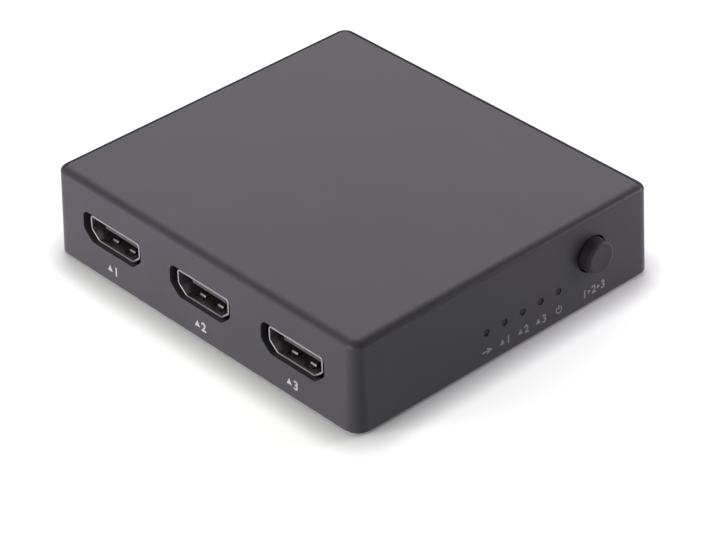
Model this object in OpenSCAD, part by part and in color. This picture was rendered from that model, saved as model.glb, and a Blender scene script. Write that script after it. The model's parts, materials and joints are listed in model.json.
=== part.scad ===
// Video switch box: three input sockets, one output socket, a power inlet, a push button and five
// indicator lights in a drafted plastic case. Millimetres, +Z up, feet on z = 0. The button and the
// lights face -Y, the inputs face -X, the output and the power inlet face +X.

/* [Case] */
// Width of the case at its bottom edge, along X
base_w = 78; // [70:0.5:110]
// Depth of the case at its bottom edge, along Y
base_d = 87; // [78:0.5:120]
// Height of the case above its bottom edge
case_h = 19.5; // [19:0.5:30]
// Lean of the walls, in degrees
draft = 2; // [0.5:0.25:3]
// Radius of the upright corners at the bottom edge
corner_r = 3.2; // [3:0.1:6]
// Radius of the rounded edge round the roof
edge_r = 1.2; // [0.6:0.1:1.4]
// Thickness of the walls
wall = 1.6; // [1.2:0.1:1.8]
// Thickness of the roof
roof_t = 1.8; // [1.2:0.1:2.2]
// Radius of the edge inside, between the walls and the roof
inner_edge_r = 0.4; // [0.2:0.1:0.6]

/* [Base plate] */
// Thickness of the base plate
plate_t = 2; // [1.8:0.1:2.6]
// Depth of the step in the walls that the base plate sits in
rebate = 0.8; // [0.4:0.1:1]
// Gap round the base plate
plate_gap = 0.15; // [0.1:0.05:0.3]

/* [Feet] */
// Radius of a rubber foot
foot_r = 4; // [3:0.25:5]
// Thickness of a rubber foot
foot_t = 1.4; // [1.2:0.1:1.6]
// How far a foot stands out under the case
foot_proud = 0.5; // [0.3:0.1:0.8]
// Gap round a foot in its recess
foot_gap = 0.15; // [0.05:0.05:0.3]
// Distance from a case screw to the foot beside it, along Y
foot_step = 10; // [9:0.5:14]

/* [Case screws] */
// Radius of the screw thread
screw_r = 1.3; // [1:0.05:1.5]
// Radius of the screw head
head_r = 2.3; // [2:0.1:2.6]
// Height of the screw head
head_h = 1.1; // [0.9:0.1:1.2]
// How far the head lies inside the base plate
head_sink = 0.1; // [0.05:0.05:0.2]
// Gap round the screw head
head_gap = 0.25; // [0.1:0.05:0.4]
// Length of the screw under its head
screw_len = 7; // [5:0.5:9]
// Gap round a screw thread in its hole
thread_gap = 0.05; // [0.02:0.01:0.1]
// Radius of the screw posts in the case
post_r = 2.8; // [2.4:0.1:2.9]
// Gap between a screw post and the walls at the bottom edge
post_gap = 1.5; // [1.2:0.1:1.6]
// Width of the slots of a cross recess
cross_w = 0.6; // [0.4:0.1:0.8]
// Depth of a cross recess
cross_h = 0.6; // [0.4:0.1:0.7]

/* [Circuit board] */
// Thickness of the circuit board
board_t = 1.6; // [1:0.1:2]
// Height of the standoffs that carry the board
standoff_h = 2.75; // [2.5:0.25:4]
// Radius of the standoffs
standoff_r = 2.6; // [2.2:0.1:3]
// Distance of the standoffs from the rear ends of the sockets, along X
standoff_inset = 3.1; // [2.8:0.1:4]
// Gap between the board's side edges and the walls
board_gap = 0.8; // [0.5:0.1:1.2]
// Gap round the screw posts at the board's corners
notch_gap = 0.5; // [0.3:0.1:0.8]
// Radius of the board screw thread
board_screw_r = 1; // [0.8:0.05:1.2]
// Radius of the board screw head
board_head_r = 1.9; // [1.6:0.1:2.2]
// Height of the board screw head
board_head_h = 1.3; // [1:0.1:1.6]
// Length of the board screw under its head
board_screw_len = 4.4; // [4:0.1:5]
// How far a screw hole is deeper than its screw
hole_spare = 0.3; // [0.1:0.1:0.6]

/* [Video sockets] */
// Distance of the outer input sockets from the ends of the case, along Y
port_margin = 17.5; // [17.5:0.25:20]
// Distance of the output socket from the rear end of the case, along Y
output_inset = 31.5; // [27.5:0.5:34]
// How far a socket's mouth lies behind the wall's face
port_recess = 0.8; // [0.6:0.1:1.1]
// Gap between a socket and its cut-out, before the next two sizes
port_gap = 0.4; // [0.4:0.05:0.7]
// Extra gap at the two ends of the cut-out
port_spread = 0.8; // [0.4:0.05:0.9]
// How far the cut-out lies higher than the socket
port_rise = 0.35; // [0.1:0.05:0.35]
// Width of the mouth
mouth_w = 14; // [13:0.1:14.5]
// Height of the mouth
mouth_h = 4.55; // [4.4:0.05:4.8]
// Width of the mouth's flat bottom
mouth_low_w = 10; // [9.5:0.1:10.5]
// Height of the mouth's upright sides
mouth_side_h = 2.8; // [2.5:0.05:3]
// Radius of the mouth's corners
mouth_r = 0.5; // [0.3:0.05:0.6]
// Thickness of the metal shell
shell_t = 0.45; // [0.3:0.05:0.5]
// Length of the metal shell
shell_len = 11; // [10:0.25:12]
// Height of the mouth's middle above the board
socket_axis_h = 3.15; // [3:0.05:3.6]
// Width of a spring finger
finger_w = 1.6; // [1.2:0.1:2]
// Width of the slot on each side of a spring finger
finger_slot = 0.3; // [0.2:0.05:0.4]
// Distance from the mouth to the root of a spring finger
finger_root = 0.9; // [0.7:0.1:1.2]
// Distance from the mouth to the top of a finger's bend
finger_bend = 2.2; // [2:0.1:2.8]
// Distance from the mouth to the end of a spring finger
finger_end = 4.4; // [4:0.1:5]
// How far a finger's bend stands into the mouth
finger_lift = 0.35; // [0.2:0.05:0.4]
// Distance of the lower fingers from the middle of the mouth
finger_low_y = 2.55; // [2:0.05:3.5]
// Distance of the upper fingers from the middle of the mouth
finger_high_y = 4; // [3:0.1:5]
// Length of a solder leg along the shell
leg_len = 1.4; // [1:0.1:1.8]
// Distances from the mouth to the two legs of a side
leg_places = [3, 8.5];
// How far a leg or pin stands out under the board
leg_out = 0.6; // [0.3:0.1:0.9]
// Gap round a leg or pin in the board
leg_gap = 0.1; // [0.05:0.05:0.2]
// Gap between the shell and the plastic inside it
insert_gap = 0.05; // [0.02:0.01:0.1]
// Thickness of the plastic wall behind the shell
rear_t = 1.2; // [1:0.1:1.5]
// Distance from the mouth to the tip of the tongue
tongue_tip = 2; // [1.9:0.1:2.5]
// Distance from the mouth to the root of the tongue
tongue_root = 7.2; // [6.5:0.1:8]
// Width of the tongue
tongue_w = 11; // [10.6:0.1:11.4]
// Thickness of the tongue
tongue_t = 1.7; // [1.5:0.05:1.9]
// Height of the tongue above the mouth's middle
tongue_rise = 0.15; // [0:0.05:0.25]
// Number of contacts on top of the tongue, one more than below it
contact_count = 10; // [8:1:10]
// Distance between neighbouring contacts
contact_pitch = 1; // [0.9:0.05:1.05]
// Width of a contact
contact_w = 0.3; // [0.2:0.05:0.35]
// Thickness of a contact
contact_t = 0.2; // [0.15:0.05:0.25]
// How far a contact stands out of the tongue
contact_out = 0.05; // [0.02:0.01:0.08]
// Distance from the tongue's tip to a contact's tip
contact_tip = 0.4; // [0.2:0.1:0.8]
// Length of a contact's foot on the board
contact_foot = 1; // [0.6:0.1:1.4]

/* [Power inlet] */
// Distance of the power inlet from the front end of the case, along Y
jack_inset = 27.5; // [26.5:0.5:29]
// Width of the inlet's body
jack_w = 7; // [6.4:0.1:8]
// Length of the inlet behind the wall's face
jack_len = 10.5; // [10:0.25:12]
// Height of the inlet's middle above the board
jack_axis_h = 3.2; // [3:0.1:3.6]
// Height of the inlet's body above its middle
jack_over = 3; // [2.9:0.1:3.4]
// Radius of the round nose
jack_nose_r = 2.9; // [2.7:0.05:3]
// Length of the round nose
jack_nose_len = 2.2; // [2:0.1:2.6]
// How far the nose lies behind the wall's face
jack_recess = 0.4; // [0.2:0.1:0.8]
// Gap round the nose in the wall
jack_gap = 0.25; // [0.15:0.05:0.4]
// Radius of the bore that takes the plug
jack_bore_r = 1.85; // [1.7:0.05:2]
// Depth of the bore
jack_bore_len = 8.4; // [7:0.1:9]
// Radius of the centre pin
jack_pin_r = 0.65; // [0.5:0.05:0.8]
// Distance from the nose's face to the pin's tip
jack_pin_tip = 0.9; // [0.5:0.1:1.5]
// Thickness of the spring leaf and the terminals
jack_leaf_t = 0.3; // [0.2:0.05:0.4]
// Width of the spring leaf
jack_leaf_w = 2; // [1.4:0.1:2.4]
// How far the leaf's bend stands into the bore
jack_leaf_lift = 0.25; // [0.1:0.05:0.4]

/* [Select button] */
// Distance of the button from the right end of the case, along X
button_inset = 16.5; // [16:0.5:18]
// Radius of the button
button_r = 3.5; // [3:0.1:3.7]
// How far the button stands out of the wall
button_proud = 2.5; // [2.2:0.1:4]
// Travel of the button
button_travel = 1.5; // [1:0.1:2]
// Radius of the button's rounded front edge
button_edge_r = 0.7; // [0.4:0.1:1.2]
// Gap round the button in the wall
button_gap = 0.35; // [0.25:0.05:0.5]
// How far the button's flange is wider than the button
flange_out = 0.7; // [0.6:0.1:0.8]
// Thickness of the button's flange
flange_t = 1; // [0.8:0.1:1.3]
// Gap between the flange and the wall
flange_gap = 0.35; // [0.3:0.05:0.5]
// Thickness of the button in front of the plunger
button_face_t = 1.8; // [1.4:0.1:2.2]

/* [Push switch] */
// Height of the plunger's middle above the board
switch_axis_h = 4.6; // [4.6:0.05:5.2]
// Width of the switch
switch_w = 8; // [7.6:0.1:8.4]
// Length of the switch
switch_len = 9; // [8.6:0.1:9.4]
// Thickness of the switch housing's sides and roof
switch_wall = 1.1; // [0.9:0.05:1.2]
// Thickness of the switch housing's front and rear
switch_end_t = 1.2; // [1:0.1:1.4]
// Gap between the pressed button and the switch
switch_gap = 0.4; // [0.3:0.1:0.6]
// Width and height of the plunger's shaft
shaft_w = 3.2; // [2.8:0.1:3.4]
// Gap round the shaft
shaft_gap = 0.1; // [0.08:0.01:0.15]
// Length of the plunger's block inside the switch
block_len = 2; // [1.6:0.1:2.4]
// Gap round the plunger's block
block_gap = 0.3; // [0.2:0.05:0.35]
// Thickness of the sliding contact
slider_t = 0.25; // [0.2:0.05:0.3]
// Gap under the sliding contact
slider_gap = 0.1; // [0.08:0.01:0.15]
// Width of a terminal pin
pin_w = 0.6; // [0.4:0.1:0.8]
// Thickness of a terminal pin
pin_t = 0.4; // [0.3:0.05:0.5]
// Width of the contact pad on top of a terminal pin
pad_w = 1.2; // [1:0.1:1.4]
// Thickness of the contact pad
pad_t = 0.2; // [0.15:0.05:0.25]
// Distance between the two rows of terminals
row_gap = 3.6; // [3:0.1:3.8]
// Distance between the terminals of a row
terminal_pitch = 2; // [1.8:0.1:2.2]
// Radius of the spring's wire
wire_r = 0.2; // [0.15:0.01:0.22]
// Radius of the spring's turns, to the middle of the wire
coil_r = 1.5; // [1.2:0.1:2]
// Number of turns of the spring
coil_turns = 5; // [4:1:6]
// Gap between the spring and its two seats
coil_gap = 0.1; // [0.05:0.01:0.15]

/* [Indicator lights] */
// Distance from the button to the nearest light
light_step = 9.23; // [8.5:0.01:9.6]
// Distance between neighbouring lights
light_pitch = 4.78; // [4.4:0.02:4.9]
// Radius of a light's hole in the wall
light_r = 0.75; // [0.6:0.05:0.9]
// Width of a light
light_w = 3; // [2.4:0.1:3.4]
// Depth of a light
light_d = 1.2; // [1:0.1:1.6]
// Height of a light
light_h = 1; // [0.8:0.1:1.2]
// Thickness of the light guide's bar
guide_t = 1; // [0.8:0.1:1.2]
// Height of the light guide's bar
guide_h = 2.4; // [2:0.1:2.8]
// Gap between the light guide and its neighbours
guide_gap = 0.2; // [0.15:0.05:0.3]
// Gap round a pin of the light guide
guide_pin_gap = 0.05; // [0.03:0.01:0.08]
// How far a pin of the light guide lies behind the wall's face
guide_recess = 1; // [0.5:0.1:1.2]

/* [Electronics] */
// Gap between neighbouring parts on the board
part_gap = 2.2; // [1.8:0.1:2.6]
// Place of the switch chip along Y, from the middle of the case
chip_y = 6; // [4:0.5:7]
// Width of the square switch chip
chip_w = 10; // [9:0.5:12]
// Distance between the leads of the switch chip
chip_pitch = 0.5; // [0.45:0.01:0.55]
// Leads on one side of the switch chip
chip_side_leads = 16; // [10:1:17]
// Height of a chip's body
chip_h = 1.2; // [1:0.1:1.6]
// Gap under a chip's body
chip_gap = 0.1; // [0.05:0.05:0.2]
// Thickness of a chip's leads
lead_t = 0.15; // [0.1:0.01:0.2]
// How far a chip's leads reach out of its body
lead_reach = 1; // [0.8:0.1:1.2]
// Width of the small chips
small_chip_w = 3.9; // [3.6:0.1:4.2]
// Distance between the leads of a small chip
small_pitch = 1.27; // [1.2:0.01:1.3]
// Leads on one side of the controller chip
controller_leads_side = 8; // [6:1:8]
// Leads on one side of a memory chip
memory_leads_side = 4; // [3:1:4]
// Width of the voltage regulator
regulator_w = 6.5; // [6:0.1:7]
// Depth of the voltage regulator
regulator_d = 3.5; // [3.2:0.1:3.8]
// Height of the voltage regulator
regulator_h = 1.6; // [1.4:0.1:1.8]
// Radius of a can capacitor
can_r = 3.1; // [2.5:0.1:3.3]
// Height of a can capacitor's can
can_h = 5.2; // [4:0.1:6]
// Height of a can capacitor's base
can_base_h = 1; // [0.8:0.1:1.2]
// Length of the crystal
crystal_l = 11; // [10:0.1:11.5]
// Width of the crystal
crystal_w = 4.6; // [4:0.1:5]
// Height of the crystal
crystal_h = 3.5; // [3:0.1:4.2]
// Length of a chip resistor or chip capacitor
passive_l = 1.6; // [1.4:0.1:1.8]
// Width of a chip resistor or chip capacitor
passive_w = 0.8; // [0.7:0.1:0.9]
// Distance between neighbouring chip parts of a row
passive_pitch = 2.4; // [2.2:0.1:2.5]
// Height of a chip capacitor
capacitor_h = 0.8; // [0.6:0.1:0.9]
// Height of a chip resistor
resistor_h = 0.45; // [0.35:0.05:0.55]

/* [Hidden] */

$fn = 48;
// Facets of the corner posts that the case is drawn over
corner_fn = 32;
// Steps of a rounded stretch of an outline
arc_steps = 6;
// How far a cut runs past the face that it opens
cut_over = 0.5;

lean = tan(draft);
case_z = foot_proud;
case_top = case_z + case_h;
roof_z = case_top - roof_t;
plate_top = case_z + plate_t;
board_low = plate_top + standoff_h;
board_top = board_low + board_t;
post_x = base_w / 2 - wall - post_gap - post_r;
post_y = base_d / 2 - wall - post_gap - post_r;
seat_z = case_z + head_sink + head_h;
screw_hole_top = seat_z + screw_len + hole_spare;

port_pitch = base_d / 2 - port_margin;
port_z = board_top + socket_axis_h;
output_y = base_d / 2 - output_inset;
rim_x = half_w(port_z) - port_recess;
slope_angle = atan2((mouth_w - mouth_low_w) / 2, mouth_h - mouth_side_h);
board_at = -socket_axis_h;
drop_x = shell_len + rear_t + insert_gap;
socket_len = drop_x + contact_foot;
contact_places = [
    for (low = [0, 1], i = [0:contact_count - 1 - low])
        [(i - (contact_count - 1 - low) / 2) * contact_pitch, low]
];
// Half of the board's free width, between the rear ends of the sockets
bench_x = rim_x - socket_len;
standoff_x = bench_x - standoff_inset;
standoff_y = port_pitch / 2;

board_half_w = half_w(board_top) - wall - board_gap;
board_half_d = half_d(board_top) - wall - 2 * guide_gap - guide_t;
button_x = base_w / 2 - button_inset;
light_z = board_top + light_h / 2;
light_places = [for (i = [4:-1:0]) button_x - light_step - i * light_pitch];
guide_y = -board_half_d - guide_gap;

jack_y = jack_inset - base_d / 2;
jack_z = board_top + jack_axis_h;
jack_x = half_w(jack_z) - jack_recess;

button_z = board_top + switch_axis_h;
wall_face_y = -half_d(button_z);
button_face_y = wall_face_y - button_proud;
flange_y = wall_face_y + wall + flange_gap;
switch_y = flange_y + flange_t + button_travel + switch_gap;
chamber_y = switch_y + switch_end_t;
chamber_end_y = switch_y + switch_len - switch_end_t;
chamber_half = switch_w / 2 - switch_wall;
floor_z = button_z - chamber_half;
block_half = chamber_half - block_gap;
slider_z = floor_z + pad_t + slider_gap;
block_low = slider_z + slider_t - button_z;
block_y = chamber_y + coil_gap;
shaft_tip_y = button_face_y + button_face_t;
terminal_places = [
    for (side = [-1, 1], i = [-1:1])
        [button_x + side * row_gap / 2, switch_y + switch_len / 2 + i * terminal_pitch]
];
coil_from = block_y + block_len + coil_gap + wire_r;
coil_to = chamber_end_y - coil_gap - wire_r;

// Three columns of parts share the room between the input sockets and the switch chip
memory_half = small_chip_w / 2 + lead_reach;
column_gap = (bench_x - chip_w / 2 - lead_reach - 2 * (passive_l + memory_half)) / 4;
capacitor_x = column_gap + passive_l / 2 - bench_x;
memory_x = capacitor_x + passive_l / 2 + column_gap + memory_half;
resistor_x = memory_x + memory_half + column_gap + passive_l / 2;
// Rows of chip capacitors along the switch chip, then the crystal, then the regulator
capacitor_row = chip_w / 2 + lead_reach + part_gap + passive_w / 2;
crystal_y = chip_y - capacitor_row - passive_w / 2 - part_gap - crystal_w / 2;
can_x = bench_x - 2 * part_gap - can_r;
regulator_at = [can_x - can_r, crystal_y - crystal_w / 2 - part_gap];
can_places = [[can_x, chip_y - chip_w / 2 - can_r], [regulator_at[0], port_pitch]];
bead_at = [bench_x - passive_l / 2, board_head_r + part_gap + passive_w / 2 - standoff_y];

// The button stands out of the front, so the case sits back by half of that
case_y = (-button_face_y - base_d / 2) / 2;

// Half width and half depth of the leaning case at a height
function half_w(z) = base_w / 2 - (z - case_z) * lean;
function half_d(z) = base_d / 2 - (z - case_z) * lean;
function unit(v) = v / norm(v);

// A closed outline with every corner rounded to radius r
function rounded(points, r) = [
    for (i = [0:len(points) - 1])
        let (
            corner = points[i],
            back = unit(points[(i + len(points) - 1) % len(points)] - corner),
            ahead = unit(points[(i + 1) % len(points)] - corner),
            half = acos(back * ahead) / 2,
            centre = corner + unit(back + ahead) * r / sin(half),
            first = corner + back * r / tan(half) - centre,
            last = corner + ahead * r / tan(half) - centre
        )
        for (k = [0:arc_steps])
            centre + r * unit(first * (arc_steps - k) + last * k)
];

// A socket mouth's outline in Y and Z, grown all round and spread at its two ends
function mouth_outline(grow, spread = 0) =
    let (
        x = mouth_w / 2 + grow + spread,
        low_x = mouth_low_w / 2 + grow * tan(45 - slope_angle / 2) + spread,
        z = mouth_h / 2 + grow,
        side_z = mouth_h / 2 - mouth_side_h - grow * tan(slope_angle / 2)
    )
    [[x, z], [-x, z], [-x, side_z], [-low_x, -z], [low_x, -z], [x, side_z]];

// Radius of a case corner at a height, for a surface that lies inside the case's face
function corner_at(z, inset) = corner_r - inset - (z - case_z) * lean;

// Half outline of a corner post with a leaning side and a rounded top edge
function corner_outline(inset, low, high, edge) =
    let (
        edge_z = high - edge,
        edge_x = corner_at(edge_z, inset) - edge / cos(draft)
    )
    concat(
        [[0, low], [corner_at(low, inset), low]],
        [
            for (k = [0:arc_steps])
                let (turn = draft + (90 - draft) * k / arc_steps)
                [edge_x + edge * cos(turn), edge_z + edge * sin(turn)]
        ],
        [[0, high]]
    );

// Ring of points round the spring's wire, a share of the way along it
function coil_ring(share) =
    let (
        turn = 360 * coil_turns * share,
        y = coil_from + (coil_to - coil_from) * share
    )
    [
        for (k = [0:5])
            let (reach = coil_r + wire_r * cos(60 * k))
            [reach * cos(turn), y + wire_r * sin(60 * k), reach * sin(turn)]
    ];

// Extrusions of an outline in Y and Z along +X, and of one in X and Z along Y from its middle
module along_x(length)
    rotate([90, 0, 90])
        linear_extrude(length)
            children();

module along_y(length)
    rotate([90, 0, 0])
        linear_extrude(length, center = true)
            children();

// A round bar from a point along +X or along +Y
module bar_x(r, length)
    rotate([0, 90, 0])
        cylinder(r = r, h = length);

module bar_y(r, length)
    rotate([-90, 0, 0])
        cylinder(r = r, h = length);

// A box given by its two corners
module box(low, high)
    translate(low)
        cube(high - low);

module in_place()
    translate([0, case_y, 0])
        children();

module at_corners(x, y)
    for (sx = [-1, 1], sy = [-1, 1])
        translate([sx * x, sy * y, 0])
            children();

// Four copies, mirrored to each corner of the case
module mirrored()
    for (flip_x = [0, 1], flip_y = [0, 1])
        mirror([flip_x, 0, 0])
            mirror([0, flip_y, 0])
                children();

module at_input(number)
    translate([-rim_x, (2 - number) * port_pitch, port_z])
        children();

module at_output()
    translate([rim_x, output_y, port_z])
        rotate([0, 0, 180])
            children();

module at_jack()
    translate([jack_x, jack_y, jack_z])
        rotate([0, 0, 180])
            children();

module at_every_socket() {
    for (number = [1:3])
        at_input(number)
            children();
    at_output()
        children();
}

// A block with the case's corners and lean
module case_block(inset, low, high, edge)
    hull()
        for (sx = [-1, 1], sy = [-1, 1])
            translate([sx * (base_w / 2 - corner_r), sy * (base_d / 2 - corner_r), 0])
                rotate_extrude($fn = corner_fn)
                    polygon(corner_outline(inset, low, high, edge));

// Cross recess cut into a screw head from the face at z = 0 towards -Z
module cross_recess(r)
    for (turn = [0, 90])
        rotate([0, 0, turn])
            box([-r * 0.6, -cross_w / 2, -cross_h], [r * 0.6, cross_w / 2, cut_over]);

module wall_openings() {
    at_every_socket()
        translate([-port_recess - cut_over - wall, 0, port_rise])
            along_x(2 * wall + port_recess + cut_over)
                polygon(rounded(mouth_outline(shell_t + port_gap, port_spread), mouth_r + shell_t));
    at_jack()
        translate([-jack_recess - cut_over, 0, 0])
            bar_x(jack_nose_r + jack_gap, 2 * wall + jack_recess);
    translate([button_x, wall_face_y - cut_over, button_z])
        bar_y(button_r + button_gap, 2 * wall);
    for (x = light_places)
        translate([x, -half_d(light_z) - cut_over, light_z])
            bar_y(light_r, 2 * wall);
}

module top_shell()
    color("#4b494e")
        in_place()
            difference() {
                union() {
                    difference() {
                        case_block(0, case_z, case_top, edge_r);
                        case_block(wall, case_z - cut_over, roof_z, inner_edge_r);
                        case_block(wall - rebate, case_z - cut_over, plate_top, 0);
                    }
                    at_corners(post_x, post_y)
                        translate([0, 0, plate_top])
                            cylinder(r = post_r, h = roof_z + roof_t / 2 - plate_top);
                }
                at_corners(post_x, post_y)
                    translate([0, 0, plate_top - cut_over])
                        cylinder(r = screw_r + thread_gap, h = screw_hole_top - plate_top + cut_over);
                wall_openings();
            }

module base_plate()
    color("#3b393e")
        in_place()
            difference() {
                union() {
                    case_block(wall - rebate + plate_gap, case_z, plate_top, 0);
                    at_corners(standoff_x, standoff_y)
                        translate([0, 0, case_z + plate_t / 2])
                            cylinder(r = standoff_r, h = board_low - case_z - plate_t / 2);
                }
                at_corners(post_x, post_y) {
                    translate([0, 0, case_z - cut_over])
                        cylinder(r = head_r + head_gap, h = seat_z - case_z + cut_over);
                    translate([0, 0, case_z])
                        cylinder(r = screw_r + thread_gap, h = plate_t + cut_over);
                }
                at_corners(post_x, post_y - foot_step)
                    translate([0, 0, case_z - cut_over])
                        cylinder(r = foot_r + foot_gap, h = foot_t - foot_proud + cut_over);
                at_corners(standoff_x, standoff_y)
                    translate([0, 0, board_top - board_screw_len - hole_spare])
                        cylinder(r = board_screw_r + thread_gap, h = board_screw_len);
            }

module rubber_feet()
    color("#242326")
        in_place()
            at_corners(post_x, post_y - foot_step)
                cylinder(r = foot_r, h = foot_t);

module case_screws()
    color("#b9bbbf")
        in_place()
            at_corners(post_x, post_y)
                difference() {
                    union() {
                        translate([0, 0, seat_z - head_h])
                            cylinder(r = head_r, h = head_h);
                        translate([0, 0, seat_z - head_h / 2])
                            cylinder(r = screw_r, h = screw_len + head_h / 2);
                    }
                    translate([0, 0, seat_z - head_h])
                        mirror([0, 0, 1])
                            cross_recess(head_r);
                }

module circuit_board()
    color("#1f5a3c")
        in_place()
            difference() {
                box([-board_half_w, -board_half_d, board_low], [board_half_w, board_half_d, board_top]);
                mirrored()
                    board_cut([post_x - post_r - notch_gap, post_y - post_r - notch_gap], [base_w, base_d]);
                at_corners(standoff_x, standoff_y)
                    translate([0, 0, board_low - cut_over])
                        cylinder(r = board_screw_r + leg_gap, h = board_t + 2 * cut_over);
                at_every_socket()
                    socket_legs(leg_gap);
                at_jack()
                    jack_terminals(leg_gap);
                for (place = terminal_places)
                    translate(place)
                        board_cut(
                            [-pin_w / 2 - leg_gap, -pin_t / 2 - leg_gap],
                            [pin_w / 2 + leg_gap, pin_t / 2 + leg_gap]
                        );
            }

// A cut right through the board between two corners in X and Y
module board_cut(low, high)
    box([low[0], low[1], board_low - cut_over], [high[0], high[1], board_top + cut_over]);

module board_screws()
    color("#c4c6c9")
        in_place()
            at_corners(standoff_x, standoff_y)
                difference() {
                    union() {
                        translate([0, 0, board_top])
                            cylinder(r = board_head_r, h = board_head_h);
                        translate([0, 0, board_top - board_screw_len])
                            cylinder(r = board_screw_r, h = board_screw_len + board_head_h / 2);
                    }
                    translate([0, 0, board_top + board_head_h])
                        cross_recess(board_head_r);
                }

// The parts of a video socket, with the mouth at x = 0 facing -X and its middle on the X axis

module socket_legs(grow)
    for (side = [-1, 1], place = leg_places)
        translate([place, side * (mouth_w + shell_t) / 2, board_at - board_t - leg_out])
            translate([-grow, -shell_t / 2 - grow, 0])
                cube([leg_len + 2 * grow, shell_t + 2 * grow, socket_axis_h + board_t + leg_out]);

// A spring finger on the mouth's floor, bent into the mouth
module spring_finger()
    translate([0, 0, -mouth_h / 2])
        along_y(finger_w)
            polygon([
                [finger_root - finger_slot, 0],
                [finger_root, 0],
                [finger_bend, finger_lift],
                [finger_end, 0],
                [finger_end, -shell_t],
                [finger_bend, finger_lift - shell_t],
                [finger_root, -shell_t],
                [finger_root - finger_slot, -shell_t]
            ]);

module finger_window()
    box(
        [finger_root, -finger_w / 2 - finger_slot, -mouth_h / 2 - shell_t - cut_over],
        [finger_end + finger_slot, finger_w / 2 + finger_slot, -mouth_h / 2 + shell_t]
    );

module at_fingers() {
    for (side = [-1, 1]) {
        translate([0, side * finger_low_y, 0])
            children();
        translate([0, side * finger_high_y, 0])
            mirror([0, 0, 1])
                children();
    }
}

module socket_shell() {
    difference() {
        along_x(shell_len)
            polygon(rounded(mouth_outline(shell_t), mouth_r + shell_t));
        translate([-cut_over, 0, 0])
            along_x(shell_len + 2 * cut_over)
                polygon(rounded(mouth_outline(0), mouth_r));
        at_fingers()
            finger_window();
    }
    at_fingers()
        spring_finger();
    socket_legs(0);
}

module socket_contacts()
    for (place = contact_places)
        let (
            side = place[1] == 0 ? 1 : -1,
            level = tongue_rise + side * (tongue_t / 2 + contact_out - contact_t / 2),
            tip = tongue_tip + contact_tip
        )
        translate([0, place[0], 0])
            along_y(contact_w)
                polygon([
                    [tip, level + contact_t / 2],
                    [drop_x + contact_t, level + contact_t / 2],
                    [drop_x + contact_t, board_at + contact_t],
                    [socket_len, board_at + contact_t],
                    [socket_len, board_at],
                    [drop_x, board_at],
                    [drop_x, level - contact_t / 2],
                    [tip, level - contact_t / 2]
                ]);

module socket_insulator()
    difference() {
        union() {
            translate([tongue_root, 0, 0])
                along_x(shell_len - tongue_root)
                    polygon(rounded(mouth_outline(-insert_gap), mouth_r));
            box([shell_len, -mouth_w / 2, board_at], [shell_len + rear_t, mouth_w / 2, mouth_h / 2]);
            box(
                [tongue_tip, -tongue_w / 2, tongue_rise - tongue_t / 2],
                [tongue_root + cut_over, tongue_w / 2, tongue_rise + tongue_t / 2]
            );
        }
        socket_contacts();
    }

module input_1_shell()
    color("#b4b1b1")
        in_place()
            at_input(1)
                socket_shell();

module input_1_insulator()
    color("#1d1b1e")
        in_place()
            at_input(1)
                socket_insulator();

module input_1_contacts()
    color("#d8b56a")
        in_place()
            at_input(1)
                socket_contacts();

module input_2_shell()
    color("#b4b1b1")
        in_place()
            at_input(2)
                socket_shell();

module input_2_insulator()
    color("#1d1b1e")
        in_place()
            at_input(2)
                socket_insulator();

module input_2_contacts()
    color("#d8b56a")
        in_place()
            at_input(2)
                socket_contacts();

module input_3_shell()
    color("#b4b1b1")
        in_place()
            at_input(3)
                socket_shell();

module input_3_insulator()
    color("#1d1b1e")
        in_place()
            at_input(3)
                socket_insulator();

module input_3_contacts()
    color("#d8b56a")
        in_place()
            at_input(3)
                socket_contacts();

module output_shell()
    color("#b4b1b1")
        in_place()
            at_output()
                socket_shell();

module output_insulator()
    color("#1d1b1e")
        in_place()
            at_output()
                socket_insulator();

module output_contacts()
    color("#d8b56a")
        in_place()
            at_output()
                socket_contacts();

// The parts of the power inlet, with its nose at x = 0 facing -X and its bore on the X axis

// The two terminals that go through the board, behind the body and under the leaf
module jack_terminals(grow) {
    low = -jack_axis_h - board_t - leg_out;
    box(
        [jack_len + insert_gap - grow, -jack_leaf_w / 2 - grow, low],
        [jack_len + insert_gap + jack_leaf_t + grow, jack_leaf_w / 2 + grow, 0]
    );
    box(
        [jack_bore_len - jack_leaf_t - grow, -jack_leaf_w / 2 - grow, low],
        [jack_bore_len + grow, jack_leaf_w / 2 + grow, -jack_bore_r]
    );
}

// The spring leaf under the bore, with its bend in the bore
module jack_leaf() {
    root = jack_bore_len - jack_leaf_t;
    front = jack_nose_len + jack_leaf_t;
    bend = (root + front) / 2;
    floor = -jack_bore_r - jack_leaf_t;
    along_y(jack_leaf_w)
        polygon([
            [front, floor],
            [front, floor + jack_leaf_t],
            [bend, floor + jack_leaf_t + jack_leaf_lift],
            [root, floor + jack_leaf_t],
            [root + jack_leaf_t, floor + jack_leaf_t],
            [root + jack_leaf_t, -jack_axis_h - board_t - leg_out],
            [root, -jack_axis_h - board_t - leg_out],
            [root, floor],
            [bend, floor + jack_leaf_lift]
        ]);
}

// Room for the leaf to bend in, open to the board
module jack_leaf_room()
    box(
        [jack_nose_len + jack_leaf_t / 2, -jack_leaf_w / 2 - leg_gap, -jack_axis_h - cut_over],
        [jack_bore_len + leg_gap, jack_leaf_w / 2 + leg_gap, -jack_bore_r * 0.75]
    );

module power_jack_housing()
    color("#222024")
        in_place()
            at_jack()
                difference() {
                    union() {
                        bar_x(jack_nose_r, jack_nose_len + cut_over);
                        box([jack_nose_len, -jack_w / 2, -jack_axis_h], [jack_len, jack_w / 2, jack_over]);
                    }
                    translate([-cut_over, 0, 0])
                        bar_x(jack_bore_r, jack_bore_len + cut_over);
                    bar_x(jack_pin_r + insert_gap, jack_len + cut_over);
                    jack_leaf_room();
                }

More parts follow.
